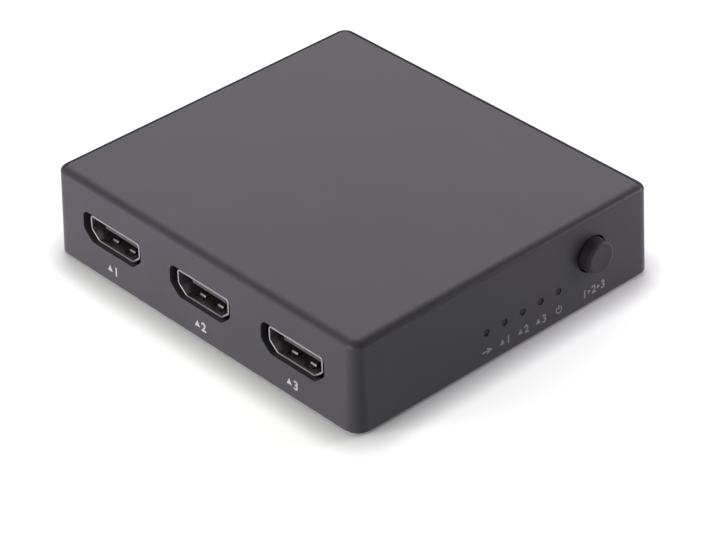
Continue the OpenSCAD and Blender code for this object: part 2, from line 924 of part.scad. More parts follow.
module power_jack_pin()
    color("#c9c6c0")
        in_place()
            at_jack() {
                translate([jack_pin_tip, 0, 0])
                    bar_x(jack_pin_r, jack_len + insert_gap + jack_leaf_t - jack_pin_tip);
                box(
                    [jack_len + insert_gap, -jack_leaf_w / 2, -jack_axis_h - board_t - leg_out],
                    [jack_len + insert_gap + jack_leaf_t, jack_leaf_w / 2, jack_pin_r]
                );
            }

module power_jack_leaf()
    color("#c9c6c0")
        in_place()
            at_jack()
                jack_leaf();

// A bar of the shaft's section, grown all round, along Y
module shaft_bar(grow, from, to)
    box(
        [button_x - shaft_w / 2 - grow, from, button_z - shaft_w / 2 - grow],
        [button_x + shaft_w / 2 + grow, to, button_z + shaft_w / 2 + grow]
    );

module select_button()
    color("#3a383d")
        in_place()
            difference() {
                translate([button_x, 0, button_z])
                    rotate([-90, 0, 0])
                        rotate_extrude()
                            polygon(concat(
                                [[0, button_face_y]],
                                [
                                    for (k = [0:arc_steps])
                                        let (turn = 90 * k / arc_steps)
                                        [
                                            button_r - button_edge_r * (1 - sin(turn)),
                                            button_face_y + button_edge_r * (1 - cos(turn))
                                        ]
                                ],
                                [
                                    [button_r, flange_y],
                                    [button_r + flange_out, flange_y],
                                    [button_r + flange_out, flange_y + flange_t],
                                    [0, flange_y + flange_t]
                                ]
                            ));
                shaft_bar(insert_gap, shaft_tip_y - insert_gap, flange_y + flange_t + cut_over);
            }

module switch_housing()
    color("#2a282c")
        in_place()
            difference() {
                box(
                    [button_x - switch_w / 2, switch_y, floor_z],
                    [button_x + switch_w / 2, switch_y + switch_len, button_z + switch_w / 2]
                );
                box(
                    [button_x - chamber_half, chamber_y, floor_z - cut_over],
                    [button_x + chamber_half, chamber_end_y, button_z + chamber_half]
                );
                shaft_bar(shaft_gap, switch_y - cut_over, chamber_y + cut_over);
            }

module switch_base()
    color("#2a282c")
        in_place()
            difference() {
                box(
                    [button_x - switch_w / 2, switch_y, board_top],
                    [button_x + switch_w / 2, switch_y + switch_len, floor_z]
                );
                terminal_pins();
            }

module terminal_pins()
    for (place = terminal_places)
        translate(place) {
            box(
                [-pin_w / 2, -pin_t / 2, board_low - leg_out],
                [pin_w / 2, pin_t / 2, floor_z + pad_t]
            );
            box([-pad_w / 2, -pad_w / 2, floor_z], [pad_w / 2, pad_w / 2, floor_z + pad_t]);
        }

module switch_terminals()
    color("#c9c6c0")
        in_place()
            terminal_pins();

module switch_plunger()
    color("#d9d6cf")
        in_place() {
            shaft_bar(0, shaft_tip_y, block_y + block_len / 2);
            box(
                [button_x - block_half, block_y, button_z + block_low],
                [button_x + block_half, block_y + block_len, button_z + block_half]
            );
        }

module switch_slider()
    color("#c58f4e")
        in_place()
            box(
                [button_x - block_half, block_y, slider_z],
                [button_x + block_half, block_y + block_len, slider_z + slider_t]
            );

module switch_spring()
    color("#a9abae")
        in_place()
            translate([button_x, 0, button_z]) {
                rings = coil_turns * 8;
                points = [for (i = [0:rings]) each coil_ring(i / rings)];
                sides = [
                    for (i = [0:rings - 1], k = [0:5])
                        let (
                            a = 6 * i + k,
                            b = 6 * i + (k + 1) % 6
                        )
                        each [[a, b, b + 6], [a, b + 6, a + 6]]
                ];
                ends = [
                    for (k = [1:4])
                        each [[0, k + 1, k], [6 * rings, 6 * rings + k, 6 * rings + k + 1]]
                ];
                polyhedron(points, concat(sides, ends));
            }

// One side-view light on the board's front edge, its lens level with the edge
module light(number)
    in_place()
        box(
            [light_places[number] - light_w / 2, -board_half_d, board_top],
            [light_places[number] + light_w / 2, -board_half_d + light_d, board_top + light_h]
        );

module led_output()
    color("#e7e4da")
        light(0);

module led_input_1()
    color("#e7e4da")
        light(1);

module led_input_2()
    color("#e7e4da")
        light(2);

module led_input_3()
    color("#e7e4da")
        light(3);

module led_power()
    color("#e7e4da")
        light(4);

module light_guide()
    color("#5a565c")
        in_place() {
            box(
                [light_places[0] - light_w / 2, guide_y - guide_t, light_z - guide_h / 2],
                [light_places[4] + light_w / 2, guide_y, light_z + guide_h / 2]
            );
            for (x = light_places)
                translate([x, guide_recess - half_d(light_z), light_z])
                    bar_y(light_r - guide_pin_gap, half_d(light_z) - guide_recess + guide_y - guide_t / 2);
        }

// A chip's body above the board, and the row of bent leads along its +X side

module chip_body(w, d, h)
    box([-w / 2, -d / 2, board_top + chip_gap], [w / 2, d / 2, board_top + chip_gap + h]);

module lead_row(count, pitch, body_w, body_h)
    for (i = [0:count - 1])
        translate([body_w / 2, (i - (count - 1) / 2) * pitch, board_top])
            along_y(pitch * 0.4)
                polygon([
                    [0, body_h / 2],
                    [0, body_h / 2 + lead_t],
                    [lead_reach * 0.3 + lead_t, body_h / 2 + lead_t],
                    [lead_reach * 0.5 + lead_t, lead_t],
                    [lead_reach, lead_t],
                    [lead_reach, 0],
                    [lead_reach * 0.5, 0],
                    [lead_reach * 0.3, body_h / 2]
                ]);

module lead_rows(turns, count, pitch, body_w, body_h)
    for (turn = turns)
        rotate([0, 0, turn])
            lead_row(count, pitch, body_w, body_h);

module at_switch_chip()
    translate([0, chip_y, 0])
        children();

module at_controller()
    translate([0, -port_pitch, 0])
        rotate([0, 0, 90])
            children();

module at_memories()
    for (number = [1:3])
        translate([memory_x, (2 - number) * port_pitch, 0])
            children();

module at_regulator()
    translate(regulator_at)
        rotate([0, 0, 90])
            children();

module at_cans()
    for (place = can_places)
        translate([place[0], place[1], board_top])
            children();

module switch_chip()
    color("#1b1a1c")
        in_place()
            at_switch_chip()
                chip_body(chip_w, chip_w, chip_h);

module switch_chip_leads()
    color("#b8b9bb")
        in_place()
            at_switch_chip()
                lead_rows([0, 90, 180, 270], chip_side_leads, chip_pitch, chip_w, chip_h);

module controller_chip()
    color("#1b1a1c")
        in_place()
            at_controller()
                chip_body(small_chip_w, controller_leads_side * small_pitch, chip_h);

module controller_leads()
    color("#b8b9bb")
        in_place()
            at_controller()
                lead_rows([0, 180], controller_leads_side, small_pitch, small_chip_w, chip_h);

module memory_chips()
    color("#1b1a1c")
        in_place()
            at_memories()
                chip_body(small_chip_w, memory_leads_side * small_pitch, chip_h);

module memory_leads()
    color("#b8b9bb")
        in_place()
            at_memories()
                lead_rows([0, 180], memory_leads_side, small_pitch, small_chip_w, chip_h);

module regulator()
    color("#1b1a1c")
        in_place()
            at_regulator()
                chip_body(regulator_d, regulator_w, regulator_h);

module regulator_leads()
    color("#b8b9bb")
        in_place()
            at_regulator() {
                lead_rows([0], 3, regulator_w / 3, regulator_d, regulator_h);
                lead_rows([180], 1, regulator_w, regulator_d, regulator_h);
            }

module capacitor_cans()
    color("#c2c4c6")
        in_place()
            at_cans()
                translate([0, 0, can_base_h])
                    cylinder(r = can_r, h = can_h);

module capacitor_bases()
    color("#222124")
        in_place()
            at_cans()
                box([-can_r, -can_r, 0], [can_r, can_r, can_base_h]);

module crystal()
    color("#c6c8ca")
        in_place()
            translate([0, crystal_y, board_top]) {
                for (side = [-1, 1])
                    translate([side * (crystal_l - crystal_w) / 2, 0, 0])
                        cylinder(r = crystal_w / 2, h = crystal_h);
                box(
                    [-(crystal_l - crystal_w) / 2, -crystal_w / 2, 0],
                    [(crystal_l - crystal_w) / 2, crystal_w / 2, crystal_h]
                );
            }

// A small chip part lying along X on the board
module passive(h)
    translate([0, 0, board_top + h / 2])
        cube([passive_l, passive_w, h], center = true);

module ceramic_capacitors()
    color("#b79a72")
        in_place() {
            for (i = [-2.5:2.5], side = [-1, 1])
                translate([passive_pitch * i, chip_y + side * capacitor_row, 0])
                    passive(capacitor_h);
            for (number = [1:3], i = [-1.5:1.5])
                translate([capacitor_x, (2 - number) * port_pitch + passive_pitch * i, 0])
                    passive(capacitor_h);
        }

module chip_resistors()
    color("#26262a")
        in_place() {
            for (number = [1:3], i = [-1.5:1.5])
                translate([resistor_x, (2 - number) * port_pitch + passive_pitch * i, 0])
                    passive(resistor_h);
            for (x = light_places)
                translate([x, light_d + part_gap - board_half_d, 0])
                    passive(resistor_h);
        }

module ferrite_beads()
    color("#3a3a3d")
        in_place()
            for (i = [0:2])
                translate([bead_at[0], bead_at[1] + passive_pitch * i, 0])
                    passive(capacitor_h);

top_shell();
base_plate();
rubber_feet();
case_screws();
circuit_board();
board_screws();
input_1_shell();
input_1_insulator();
input_1_contacts();
input_2_shell();
input_2_insulator();
input_2_contacts();
input_3_shell();
input_3_insulator();
input_3_contacts();
output_shell();
output_insulator();
output_contacts();
power_jack_housing();
power_jack_pin();
power_jack_leaf();
select_button();
switch_housing();
switch_base();
switch_terminals();
switch_plunger();
switch_slider();
switch_spring();
led_output();
led_input_1();
led_input_2();
led_input_3();
led_power();
light_guide();
switch_chip();
switch_chip_leads();
controller_chip();
controller_leads();
memory_chips();
memory_leads();
regulator();
regulator_leads();
capacitor_cans();
capacitor_bases();
crystal();
ceramic_capacitors();
chip_resistors();
ferrite_beads();
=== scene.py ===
# %% [markdown]
# # A three-way video switch box
#
# The real object is a palm-sized box that sends one of three video sources to a screen. A moulded
# black shell drops over a flat base plate, four screws hold the two together, and a circuit board
# inside carries the metal sockets, a push switch and five lights. The measured solids come in as a
# fixed frame. This lesson dresses them: every piece that can be seen is drawn again with rounded
# edges and a real finish, and the pieces hidden inside keep their solids and get a finish each.

# %% Load the measured model
import json
import math

import bmesh
import bpy
from mathutils import Matrix, Vector


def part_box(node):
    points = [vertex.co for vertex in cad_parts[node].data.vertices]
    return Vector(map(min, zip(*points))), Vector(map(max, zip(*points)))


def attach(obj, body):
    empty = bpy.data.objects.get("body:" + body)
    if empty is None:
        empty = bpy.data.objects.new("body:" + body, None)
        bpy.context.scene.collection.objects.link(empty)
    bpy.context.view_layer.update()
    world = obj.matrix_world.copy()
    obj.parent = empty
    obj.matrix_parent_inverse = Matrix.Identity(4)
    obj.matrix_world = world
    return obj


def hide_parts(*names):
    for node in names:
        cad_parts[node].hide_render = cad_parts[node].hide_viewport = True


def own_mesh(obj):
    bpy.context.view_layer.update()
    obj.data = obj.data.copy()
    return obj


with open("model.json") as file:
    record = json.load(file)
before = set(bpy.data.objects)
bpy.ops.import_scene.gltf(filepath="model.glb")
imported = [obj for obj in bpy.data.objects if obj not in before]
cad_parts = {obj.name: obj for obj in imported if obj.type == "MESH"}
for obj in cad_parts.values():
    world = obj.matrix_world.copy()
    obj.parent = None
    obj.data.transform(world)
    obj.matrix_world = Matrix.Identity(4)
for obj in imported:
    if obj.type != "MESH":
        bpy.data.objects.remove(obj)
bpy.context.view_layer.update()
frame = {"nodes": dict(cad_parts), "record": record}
MM = 0.001

# %% [markdown]
# ## Where things are
#
# Places come from the frame and not from typed numbers: the boxes of the solids, and the points where
# plugs go in, which the record calls mounts. The shapes below are drawn in millimetres about the
# middle of the case, because 0.05 mm is easier to read and to cut cleanly than 0.00005 m. One matrix at
# the end brings each finished piece into the frame.

# %% Read the places from the frame
case_low, case_high = (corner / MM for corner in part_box("top_shell"))
case_y = (case_low.y + case_high.y) / 2
half_w = case_high.x
half_d = (case_high.y - case_low.y) / 2
base_z, top_z = case_low.z, case_high.z
middle = Vector((0, case_y, 0))
to_frame = Matrix.Scale(MM, 4) @ Matrix.Translation(middle)
record = frame["record"]
slot_of = {part["node"]: part["material_slot"] for part in record["subparts"]}
mount_at = {mount["name"]: Vector(mount["pos_m"]) / MM - middle for mount in record["mounts"]}


def node_box(node):
    """Lowest and highest corner of a solid, in millimetres about the middle of the case."""
    return tuple(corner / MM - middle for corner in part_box(node))


print("case, mm:", round(2 * half_w, 2), round(2 * half_d, 2), round(top_z - base_z, 2))

# %% [markdown]
# ## A way to write materials
#
# Every finish here is a Principled shader fed by noise. Colours are written as the sRGB hex values
# that a paint program shows, and one function turns them into the linear light that Blender mixes.
# Another adds a node of any kind with its settings and its links, so that the recipe of a finish reads
# from top to bottom. Two short ones do sums and stretch ranges.

# %% Colour and node helpers
def linear(text):
    """An sRGB hex value as the linear colour of a socket."""
    shares = [int(text[i:i + 2], 16) / 255 for i in (1, 3, 5)]
    return [*(s / 12.92 if s <= 0.04045 else ((s + 0.055) / 1.055) ** 2.4 for s in shares), 1]


def add(tree, kind, inputs=None, **settings):
    """Adds a node. inputs gives a socket, by name or number, a value or another node's output."""
    node = tree.nodes.new(kind)
    for name, value in settings.items():
        setattr(node, name, value)
    for name, value in (inputs or {}).items():
        if isinstance(value, bpy.types.NodeSocket):
            tree.links.new(value, node.inputs[name])
        else:
            node.inputs[name].default_value = value
    return node


def calc(tree, operation, *values, **settings):
    """The result of a Math node; each value is a number or another node's output."""
    return add(tree, "ShaderNodeMath", dict(enumerate(values)), operation=operation, **settings).outputs[0]


def ramp(tree, value, start, end, low=0, high=1):
    """Takes a value from the range start to end to the range low to high, and never past it."""
    limits = {"Value": value, "From Min": start, "From Max": end, "To Min": low, "To Max": high}
    return add(tree, "ShaderNodeMapRange", limits).outputs["Result"]


# %% [markdown]
# ## A finish in general
#
# Moulded plastic, plated metal and rubber look different, but they are described by the same few
# facts: two close shades that lie in soft patches, a range of roughness, and a fine grain that
# stands out by some hundredths of a millimetre. Drawn metal has a grain that runs one way, so the
# grain can be squeezed along an axis. Numbers that are the same all over go straight on the shader.

# %% Build a finish from its facts
# Noise seldom leaves the middle of its range, so only that part is used
NOISE_SPAN = 0.3, 0.7


def finish(name, shades, patch, rough, grain, depth, squeeze=(1, 1, 1), **fixed):
    """A material. patch and grain are sizes and depth is a height, all in millimetres."""
    material = bpy.data.materials.new(name)
    material.use_nodes = True
    tree = material.node_tree
    shader = tree.nodes["Principled BSDF"]
    for socket, value in fixed.items():
        shader.inputs[socket.replace("_", " ")].default_value = value
    place = add(tree, "ShaderNodeTexCoord").outputs["Object"]
    patches = add(tree, "ShaderNodeTexNoise", {"Vector": place, "Scale": 1 / (patch * MM), "Detail": 3})
    shade = add(tree, "ShaderNodeValToRGB", {"Fac": patches.outputs["Fac"]})
    for element, text, at in zip(shade.color_ramp.elements, shades, NOISE_SPAN):
        element.color = linear(text)
        element.position = at
    run = add(tree, "ShaderNodeMapping", {"Vector": place, "Scale": squeeze}).outputs["Vector"]
    bumps = add(tree, "ShaderNodeTexNoise", {"Vector": run, "Scale": 1 / (grain * MM), "Detail": 2})
    gloss = ramp(tree, bumps.outputs["Fac"], *NOISE_SPAN, *rough)
    relief = add(tree, "ShaderNodeBump", {
        "Height": bumps.outputs["Fac"], "Strength": 1, "Distance": depth * MM})
    tree.links.new(shade.outputs["Color"], shader.inputs["Base Color"])
    tree.links.new(gloss, shader.inputs["Roughness"])
    tree.links.new(relief.outputs["Normal"], shader.inputs["Normal"])
    return material


# %% [markdown]
# ## Plastics and rubber
#
# The shell is ABS, moulded in a steel tool whose faces were spark-eroded. That leaves a satin skin:
# it is nearly black, with a touch of violet, but at a slant it mirrors a pale room as a soft grey.
# ABS has an IOR of 1.52, but the pits of the skin shade each other and swallow nearly half of the
# shine, so the specular level is lowered. The base plate comes from a coarser tool, and the feet are
# rubber with no shine to speak of. The real spark grain is about 0.1 mm, too fine to show here, so it
# is drawn at 0.4 mm.

# %% Mix the plastics and the rubber
ABS = {"IOR": 1.52, "Specular_IOR_Level": 0.29}
finishes = {
    # Satin black ABS: soft grey reflections without any sparkle
    "case_plastic": finish(
        "ABS, spark-textured satin black", ("#36343b", "#3a383f"), 14, (0.40, 0.48), 0.4, 0.004, **ABS),
    # The same plastic from a coarser tool, so duller
    "base_plastic": finish(
        "ABS, coarse-textured black", ("#2a272d", "#2f2c32"), 9, (0.55, 0.66), 0.5, 0.012, **ABS),
    # The button comes from a tool of its own: the same colour, but duller
    "button_plastic": finish(
        "ABS, fine-textured black", ("#36333b", "#3a373f"), 4, (0.56, 0.64), 0.3, 0.003, **ABS),
    # Rubber scatters nearly everything and looks dusty
    "foot_rubber": finish(
        "Rubber, moulded matt black", ("#232225", "#2c2b2e"), 2.5, (0.82, 0.92), 0.35, 0.02, IOR=1.5),
    # Liquid crystal polymer flows into thin walls and comes out with faint flow streaks
    "socket_plastic": finish(
        "LCP, moulded black", ("#39353b", "#423e44"), 2, (0.42, 0.55), 0.3, 0.004, (1, 0.2, 1), IOR=1.6),
    "switch_plastic": finish(
        "PBT, moulded black", ("#1f1e21", "#28272a"), 2, (0.45, 0.55), 0.3, 0.004, IOR=1.55),
    # Acetal is waxy and off-white
    "plunger_plastic": finish(
        "Acetal, moulded ivory", ("#d8d4c8", "#e2dfd5"), 3, (0.32, 0.42), 0.3, 0.003, IOR=1.48),
    # Filled epoxy over a chip: flat black with a fine stone-like grain
    "chip_epoxy": finish(
        "Filled epoxy, moulded black", ("#1c1b1d", "#252427"), 1.2, (0.55, 0.68), 0.2, 0.006, IOR=1.55),
    # Fired ceramic: tan, dry and slightly uneven
    "ceramic_body": finish(
        "Ceramic, fired tan", ("#a08560", "#b79a72"), 0.6, (0.5, 0.62), 0.15, 0.004, IOR=1.6),
    # Cast epoxy of a light: milky, so that it spreads its light
    "light_epoxy": finish(
        "Epoxy, cast milky", ("#dcd8cc", "#ebe8de"), 0.8, (0.25, 0.35),
        0.2, 0.002, IOR=1.53, Transmission_Weight=0.35),
    # Smoked polycarbonate swallows most light, so an unlit lamp looks like a dark bead
    "guide_plastic": finish(
        "Polycarbonate, smoked", ("#20181c", "#281f24"), 1.5, (0.4, 0.5),
        0.4, 0.001, IOR=1.585, Specular_IOR_Level=0.1, Transmission_Weight=0.1),
}
print("plastics:", ", ".join(sorted(finishes)))

# %% [markdown]
# ## Edges that turn away
#
# Along the two far edges of the roof runs a thin dark line. There the rounding is seen at a very flat
# angle, and the pits of the texture hide behind one another, so the shine of the roof stops short. A
# plain shader would do the opposite and get brighter. A small mask puts that right: it finds rounded
# upper edges by the slope of the surface, and makes them fully matt where they turn from the viewer.

# %% Dull the edges that turn away
# Upward part of the surface's normal where the roof ends and where the wall ends
ROOF_SLOPES = 0.999, 0.99
WALL_SLOPES = 0.1, 0.4
# From 0, seen face on, to 1, seen edge on
TURNED_AWAY = 0.4, 0.5
skin = finishes["case_plastic"].node_tree
normal = add(skin, "ShaderNodeNewGeometry").outputs["Normal"]
upward = add(skin, "ShaderNodeSeparateXYZ", {0: normal}).outputs["Z"]
slant = add(skin, "ShaderNodeLayerWeight", {"Blend": 0.5}).outputs["Facing"]
edge = calc(skin, "MULTIPLY", ramp(skin, upward, *ROOF_SLOPES), ramp(skin, upward, *WALL_SLOPES))
mask = calc(skin, "MULTIPLY", edge, ramp(skin, slant, *TURNED_AWAY))
rough = skin.nodes["Principled BSDF"].inputs["Roughness"]
skin.links.new(calc(skin, "MAXIMUM", rough.links[0].from_socket, mask), rough)
print("nodes in the shell's finish:", len(skin.nodes))

# %% [markdown]
# ## Metals and the board
#
# The socket shells are steel strip, nickel-plated after pressing: bright, slightly warm and never
# quite mirror-like. Contacts carry a flash of gold, screws are zinc-plated, and the remaining metal is
# tinned or plain. All metals keep the default IOR, because their colour already holds their shine.
# Rolling leaves a grain along the strip, so the noise is squeezed along one axis.

# %% Mix the metals and the board
finishes.update({
    # Nickel plating: light and warm grey, with a soft drawn grain
    "socket_nickel": finish(
        "Steel strip, nickel-plated", ("#9c9a9c", "#aaa8aa"), 3, (0.30, 0.40),
        0.25, 0.002, (0.15, 1, 1), Metallic=1),
    # Gold flash over nickel: yellow and even
    "contact_gold": finish(
        "Bronze, gold-flashed", ("#cfa14f", "#e2bb6c"), 1, (0.2, 0.3),
        0.2, 0.001, (0.2, 1, 1), Metallic=1),
    # Hot tin: whitish and slightly lumpy
    "tinned_metal": finish(
        "Bronze, tinned", ("#b4b4b2", "#c8c8c6"), 1, (0.28, 0.4), 0.3, 0.004, Metallic=1),
    # Zinc plating with a clear passivate: cold grey with a blue cast
    "screw_steel": finish(
        "Steel, zinc-plated", ("#a9adb4", "#bfc3c9"), 1.2, (0.26, 0.4), 0.2, 0.003, Metallic=1),
    "slider_bronze": finish(
        "Phosphor bronze, rolled", ("#b67f45", "#c9925a"), 1, (0.25, 0.35),
        0.2, 0.001, (0.2, 1, 1), Metallic=1),
    # Drawn aluminium cans: pale, with rings of drawing marks
    "can_aluminium": finish(
        "Aluminium, drawn", ("#c3c5c8", "#d3d5d8"), 2, (0.22, 0.34), 0.2, 0.002, (1, 1, 0.2), Metallic=1),
    # Glass cloth in epoxy under a deep green lacquer: the cloth shows as faint lighter patches
    "board_laminate": finish(
        "FR-4 laminate, lacquered green", ("#0e2a1d", "#143524"), 2.5, (0.3, 0.42), 0.5, 0.006, IOR=1.5),
})
print("finishes in all:", len(finishes))

# %% [markdown]
# ## From a drawing to a piece
#
# A piece starts as rings of points with a skin of quads between them. A few helpers do the rest:
# arcs for rounded edges, a skin over rings, a turned solid for what a lathe would make, a chain of
# modifiers that is turned back into a plain mesh, and a cut. The last helper brings a finished mesh
# into the frame, gives it the finish of the solid it stands for, hides that solid and hangs the piece on
# the body it rides on.

# %% Mesh helpers
def arc(centre, radius, start, end, steps=6):
    """Points of an arc between two angles in degrees."""
    turns = [math.radians(start + (end - start) * step / steps) for step in range(steps + 1)]
    return [(centre[0] + radius * math.cos(t), centre[1] + radius * math.sin(t)) for t in turns]


def loft(rings, hollow=False):
    """A closed mesh over rings of equally many points; hollow joins the last ring to the first."""
    bm = bmesh.new()
    rows = [[bm.verts.new(point) for point in ring] for ring in rings]
    for low, high in zip(rows, rows[1:] + rows[:1] if hollow else rows[1:]):
        for i, j in zip(range(len(low)), [*range(1, len(low)), 0]):
            bm.faces.new((low[i], low[j], high[j], high[i]))
    if not hollow:
        bm.faces.new(rows[0])
        bm.faces.new(rows[-1])
    bmesh.ops.recalc_face_normals(bm, faces=bm.faces[:])
    mesh = bpy.data.meshes.new("loft")
    bm.to_mesh(mesh)
    bm.free()
    return mesh


SQUARE = ((1, 1), (-1, 1), (-1, -1), (1, -1))
AXIS_TURN = {
    "Z": Matrix(),
    "Y": Matrix.Rotation(-math.pi / 2, 4, "X"),
    "X": Matrix.Rotation(math.pi / 2, 4, "Y"),
}


def turned(profile, axis="Z", at=(0, 0, 0), steps=48):
    """A turned solid along an axis; the profile lists radius and distance along the axis."""
    turns = [2 * math.pi * step / steps for step in range(steps)]
    mesh = loft([[(r * math.cos(t), r * math.sin(t), along) for t in turns] for r, along in profile])
    mesh.transform(Matrix.Translation(at) @ AXIS_TURN[axis])
    return mesh


def block(low, high):
    """A box between two corners, for a cut or to be given rounded edges."""
    rings = [[(low[0], low[1], z), (high[0], low[1], z), (high[0], high[1], z), (low[0], high[1], z)]
             for z in (low[2], high[2])]
    return loft(rings)


def joined(meshes):
    """Several meshes as one."""
    bm = bmesh.new()
    for mesh in meshes:
        bm.from_mesh(mesh)
    made = bpy.data.meshes.new("joined")
    bm.to_mesh(made)
    bm.free()
    return made


def moved(mesh, matrix):
    """A copy of a mesh in another place."""
    copy = mesh.copy()
    copy.transform(matrix)
    return copy


def placed(name, data):
    """A new object in the scene."""
    thing = bpy.data.objects.new(name, data)
    bpy.context.scene.collection.objects.link(thing)
    return thing


def frozen(thing):
    """What an object looks like in the end, as a plain mesh; the object itself goes."""
    graph = bpy.context.evaluated_depsgraph_get()
    mesh = bpy.data.meshes.new_from_object(thing.evaluated_get(graph))
    bpy.data.objects.remove(thing)
    return mesh


def worked(mesh, kind, **settings):
    """The mesh after one modifier, as a plain mesh."""
    thing = placed("work", mesh)
    modifier = thing.modifiers.new("work", kind)
    for name, value in settings.items():
        setattr(modifier, name, value)
    return frozen(thing)


def cut(mesh, cutters):
    """The mesh with closed shapes taken out of it."""
    tool = placed("cutter", joined(cutters))
    made = worked(mesh, "BOOLEAN", object=tool, operation="DIFFERENCE", solver="EXACT")
    bpy.data.objects.remove(tool)
    return made


def eased(mesh, width, segments=3, angle=35):
    """The mesh with its sharp edges rounded."""
    return worked(mesh, "BEVEL", width=width, segments=segments, limit_method="ANGLE",
                  angle_limit=math.radians(angle), use_clamp_overlap=False)


SMOOTH_UP_TO = math.radians(48)


def piece(name, mesh, node=None, look=None, body="case"):
    """Brings a mesh into the frame as a piece of a body, with the place and the finish of a solid."""
    mesh.transform(to_frame)
    mesh.shade_smooth()
    mesh.set_sharp_from_angle(angle=SMOOTH_UP_TO)
    mesh.materials.clear()
    mesh.materials.append(look or finishes[slot_of[node]])
    thing = placed(name, mesh)
    thing.modifiers.new("Even shading", "WEIGHTED_NORMAL").keep_sharp = True
    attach(thing, body)
    if node:
        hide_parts(node)
    print(f"{name}: {len(mesh.polygons)} faces")
    return thing


# %% [markdown]
# ## What repeats
#
# Feet and screws sit at four corners, and contacts and light pins stand in rows. Geometry Nodes copy
# one carefully drawn piece to all its places: one tree makes a row, another the four corners. The
# tree ends in real geometry with a material, and the result is turned back into a plain mesh, so that
# nothing depends on the tree later.

# %% Trees for a row and for four corners
def copying_tree(name, sizes):
    """An empty tree with a geometry, the named sizes and a material to put in."""
    tree = bpy.data.node_groups.new(name, "GeometryNodeTree")
    sockets = {"Geometry": "NodeSocketGeometry", **sizes, "Material": "NodeSocketMaterial"}
    for socket, kind in sockets.items():
        tree.interface.new_socket(socket, in_out="INPUT", socket_type=kind)
    tree.interface.new_socket("Geometry", in_out="OUTPUT", socket_type="NodeSocketGeometry")
    return tree, add(tree, "NodeGroupInput").outputs


def copy_to_points(tree, given, points):
    """Ends a tree: a copy of the input geometry at every point, made real and given its material."""
    copies = add(tree, "GeometryNodeInstanceOnPoints", {"Points": points, "Instance": given["Geometry"]})
    real = add(tree, "GeometryNodeRealizeInstances", {"Geometry": copies.outputs["Instances"]})
    coated = add(tree, "GeometryNodeSetMaterial", {
        "Geometry": real.outputs["Geometry"], "Material": given["Material"]})
    add(tree, "NodeGroupOutput", {"Geometry": coated.outputs["Geometry"]})


row_tree, row_in = copying_tree("Row", {"Count": "NodeSocketInt", "Step": "NodeSocketVector"})
row_line = add(row_tree, "GeometryNodeMeshLine", {"Count": row_in["Count"], "Offset": row_in["Step"]})
copy_to_points(row_tree, row_in, row_line.outputs["Mesh"])

corner_tree, corner_in = copying_tree(
    "Four corners", {"Width": "NodeSocketFloat", "Depth": "NodeSocketFloat"})
corner_grid = add(corner_tree, "GeometryNodeMeshGrid", {
    "Size X": corner_in["Width"], "Size Y": corner_in["Depth"], "Vertices X": 2, "Vertices Y": 2})
copy_to_points(corner_tree, corner_in, corner_grid.outputs["Mesh"])


def repeated(mesh, tree, slot, **sizes):
    """The mesh copied by a tree and given the finish of a slot, as a plain mesh."""
    thing = placed("repeat", mesh)
    modifier = thing.modifiers.new("repeat", "NODES")
    modifier.node_group = tree
    sockets = {item.name: item.identifier for item in tree.interface.items_tree if item.in_out == "INPUT"}
    for name, value in {**sizes, "Material": finishes[slot]}.items():
        modifier[sockets[name]] = value
    return frozen(thing)


print("trees:", row_tree.name, "and", corner_tree.name)

# %% [markdown]
# ## The shell
#
# The shell is one moulding with a roof and four walls that lean in by 2 degrees, so that it comes off
# its tool. It could be a bevelled cube, but then the corners would not get slimmer towards the roof
# as the real ones do. Here rings of points follow the section of the wall: over the rounded roof
# edge, down the face, round the bottom lip, up the step for the base plate and along the inside. The
# rounding is an oval, wider on the roof than it is high, as an edge looks that was softened by hand in
# the tool.

# %% Draw the shell's section round the case
DRAFT = 2
LEAN = math.tan(math.radians(DRAFT))
CORNER_R = 3.2
EDGE_H, EDGE_W = 1.2, 2.0
WALL = 1.6
ROOF = 1.8
REBATE = 0.8
LIP_R = 0.3
INNER_R = 0.4
CORNER_STEPS = 12
PLATE_T = 2.0
plate_top = node_box("base_plate")[0].z + PLATE_T


def reach(z, inset=0):
    """Radius of the upright corners at a height, for a face that lies inset behind the outer one."""
    return CORNER_R - inset - (z - base_z) * LEAN


def case_ring(radius, z):
    """Points round the case at one height; only the corners' radius changes from ring to ring."""
    ring = []
    for quarter, (side_x, side_y) in enumerate(SQUARE):
        centre = (side_x * (half_w - CORNER_R), side_y * (half_d - CORNER_R))
        ring += [(x, y, z) for x, y in arc(centre, radius, 90 * quarter, 90 * quarter + 90, CORNER_STEPS)]
    return ring


edge_z = top_z - EDGE_H
inner_z = top_z - ROOF - INNER_R
edge_arc = arc((0, edge_z), EDGE_H, 90, DRAFT, 10)
shell_section = [
    *[(reach(edge_z) - (EDGE_H - r) * EDGE_W / EDGE_H, z) for r, z in edge_arc],
    *arc((reach(base_z + LIP_R) - LIP_R, base_z + LIP_R), LIP_R, DRAFT, -90, 5),
    (reach(base_z, WALL - REBATE), base_z),
    (reach(plate_top, WALL - REBATE), plate_top),
    (reach(plate_top, WALL), plate_top),
    *arc((reach(inner_z, WALL) - INNER_R, inner_z), INNER_R, DRAFT, 90, 4),
]
shell = loft([case_ring(radius, z) for radius, z in shell_section])
print("rings of the shell:", len(shell_section))

# %% [markdown]
# ## The openings in the walls
#
# Three cut-outs in the left wall take the input sockets, one in the right wall the output, and there
# are round holes for the power inlet, the button and the lights. A video socket's mouth is a wide
# slot whose lower corners slope, so that the plug goes in only one way round. The cut-out follows
# that outline with some room, more at its ends and above, so that the plug's own grip finds space.
# The cut edges then get a rounding of a tenth of a millimetre, as a tool leaves them. Only the small
# holes of the lights stay sharp.

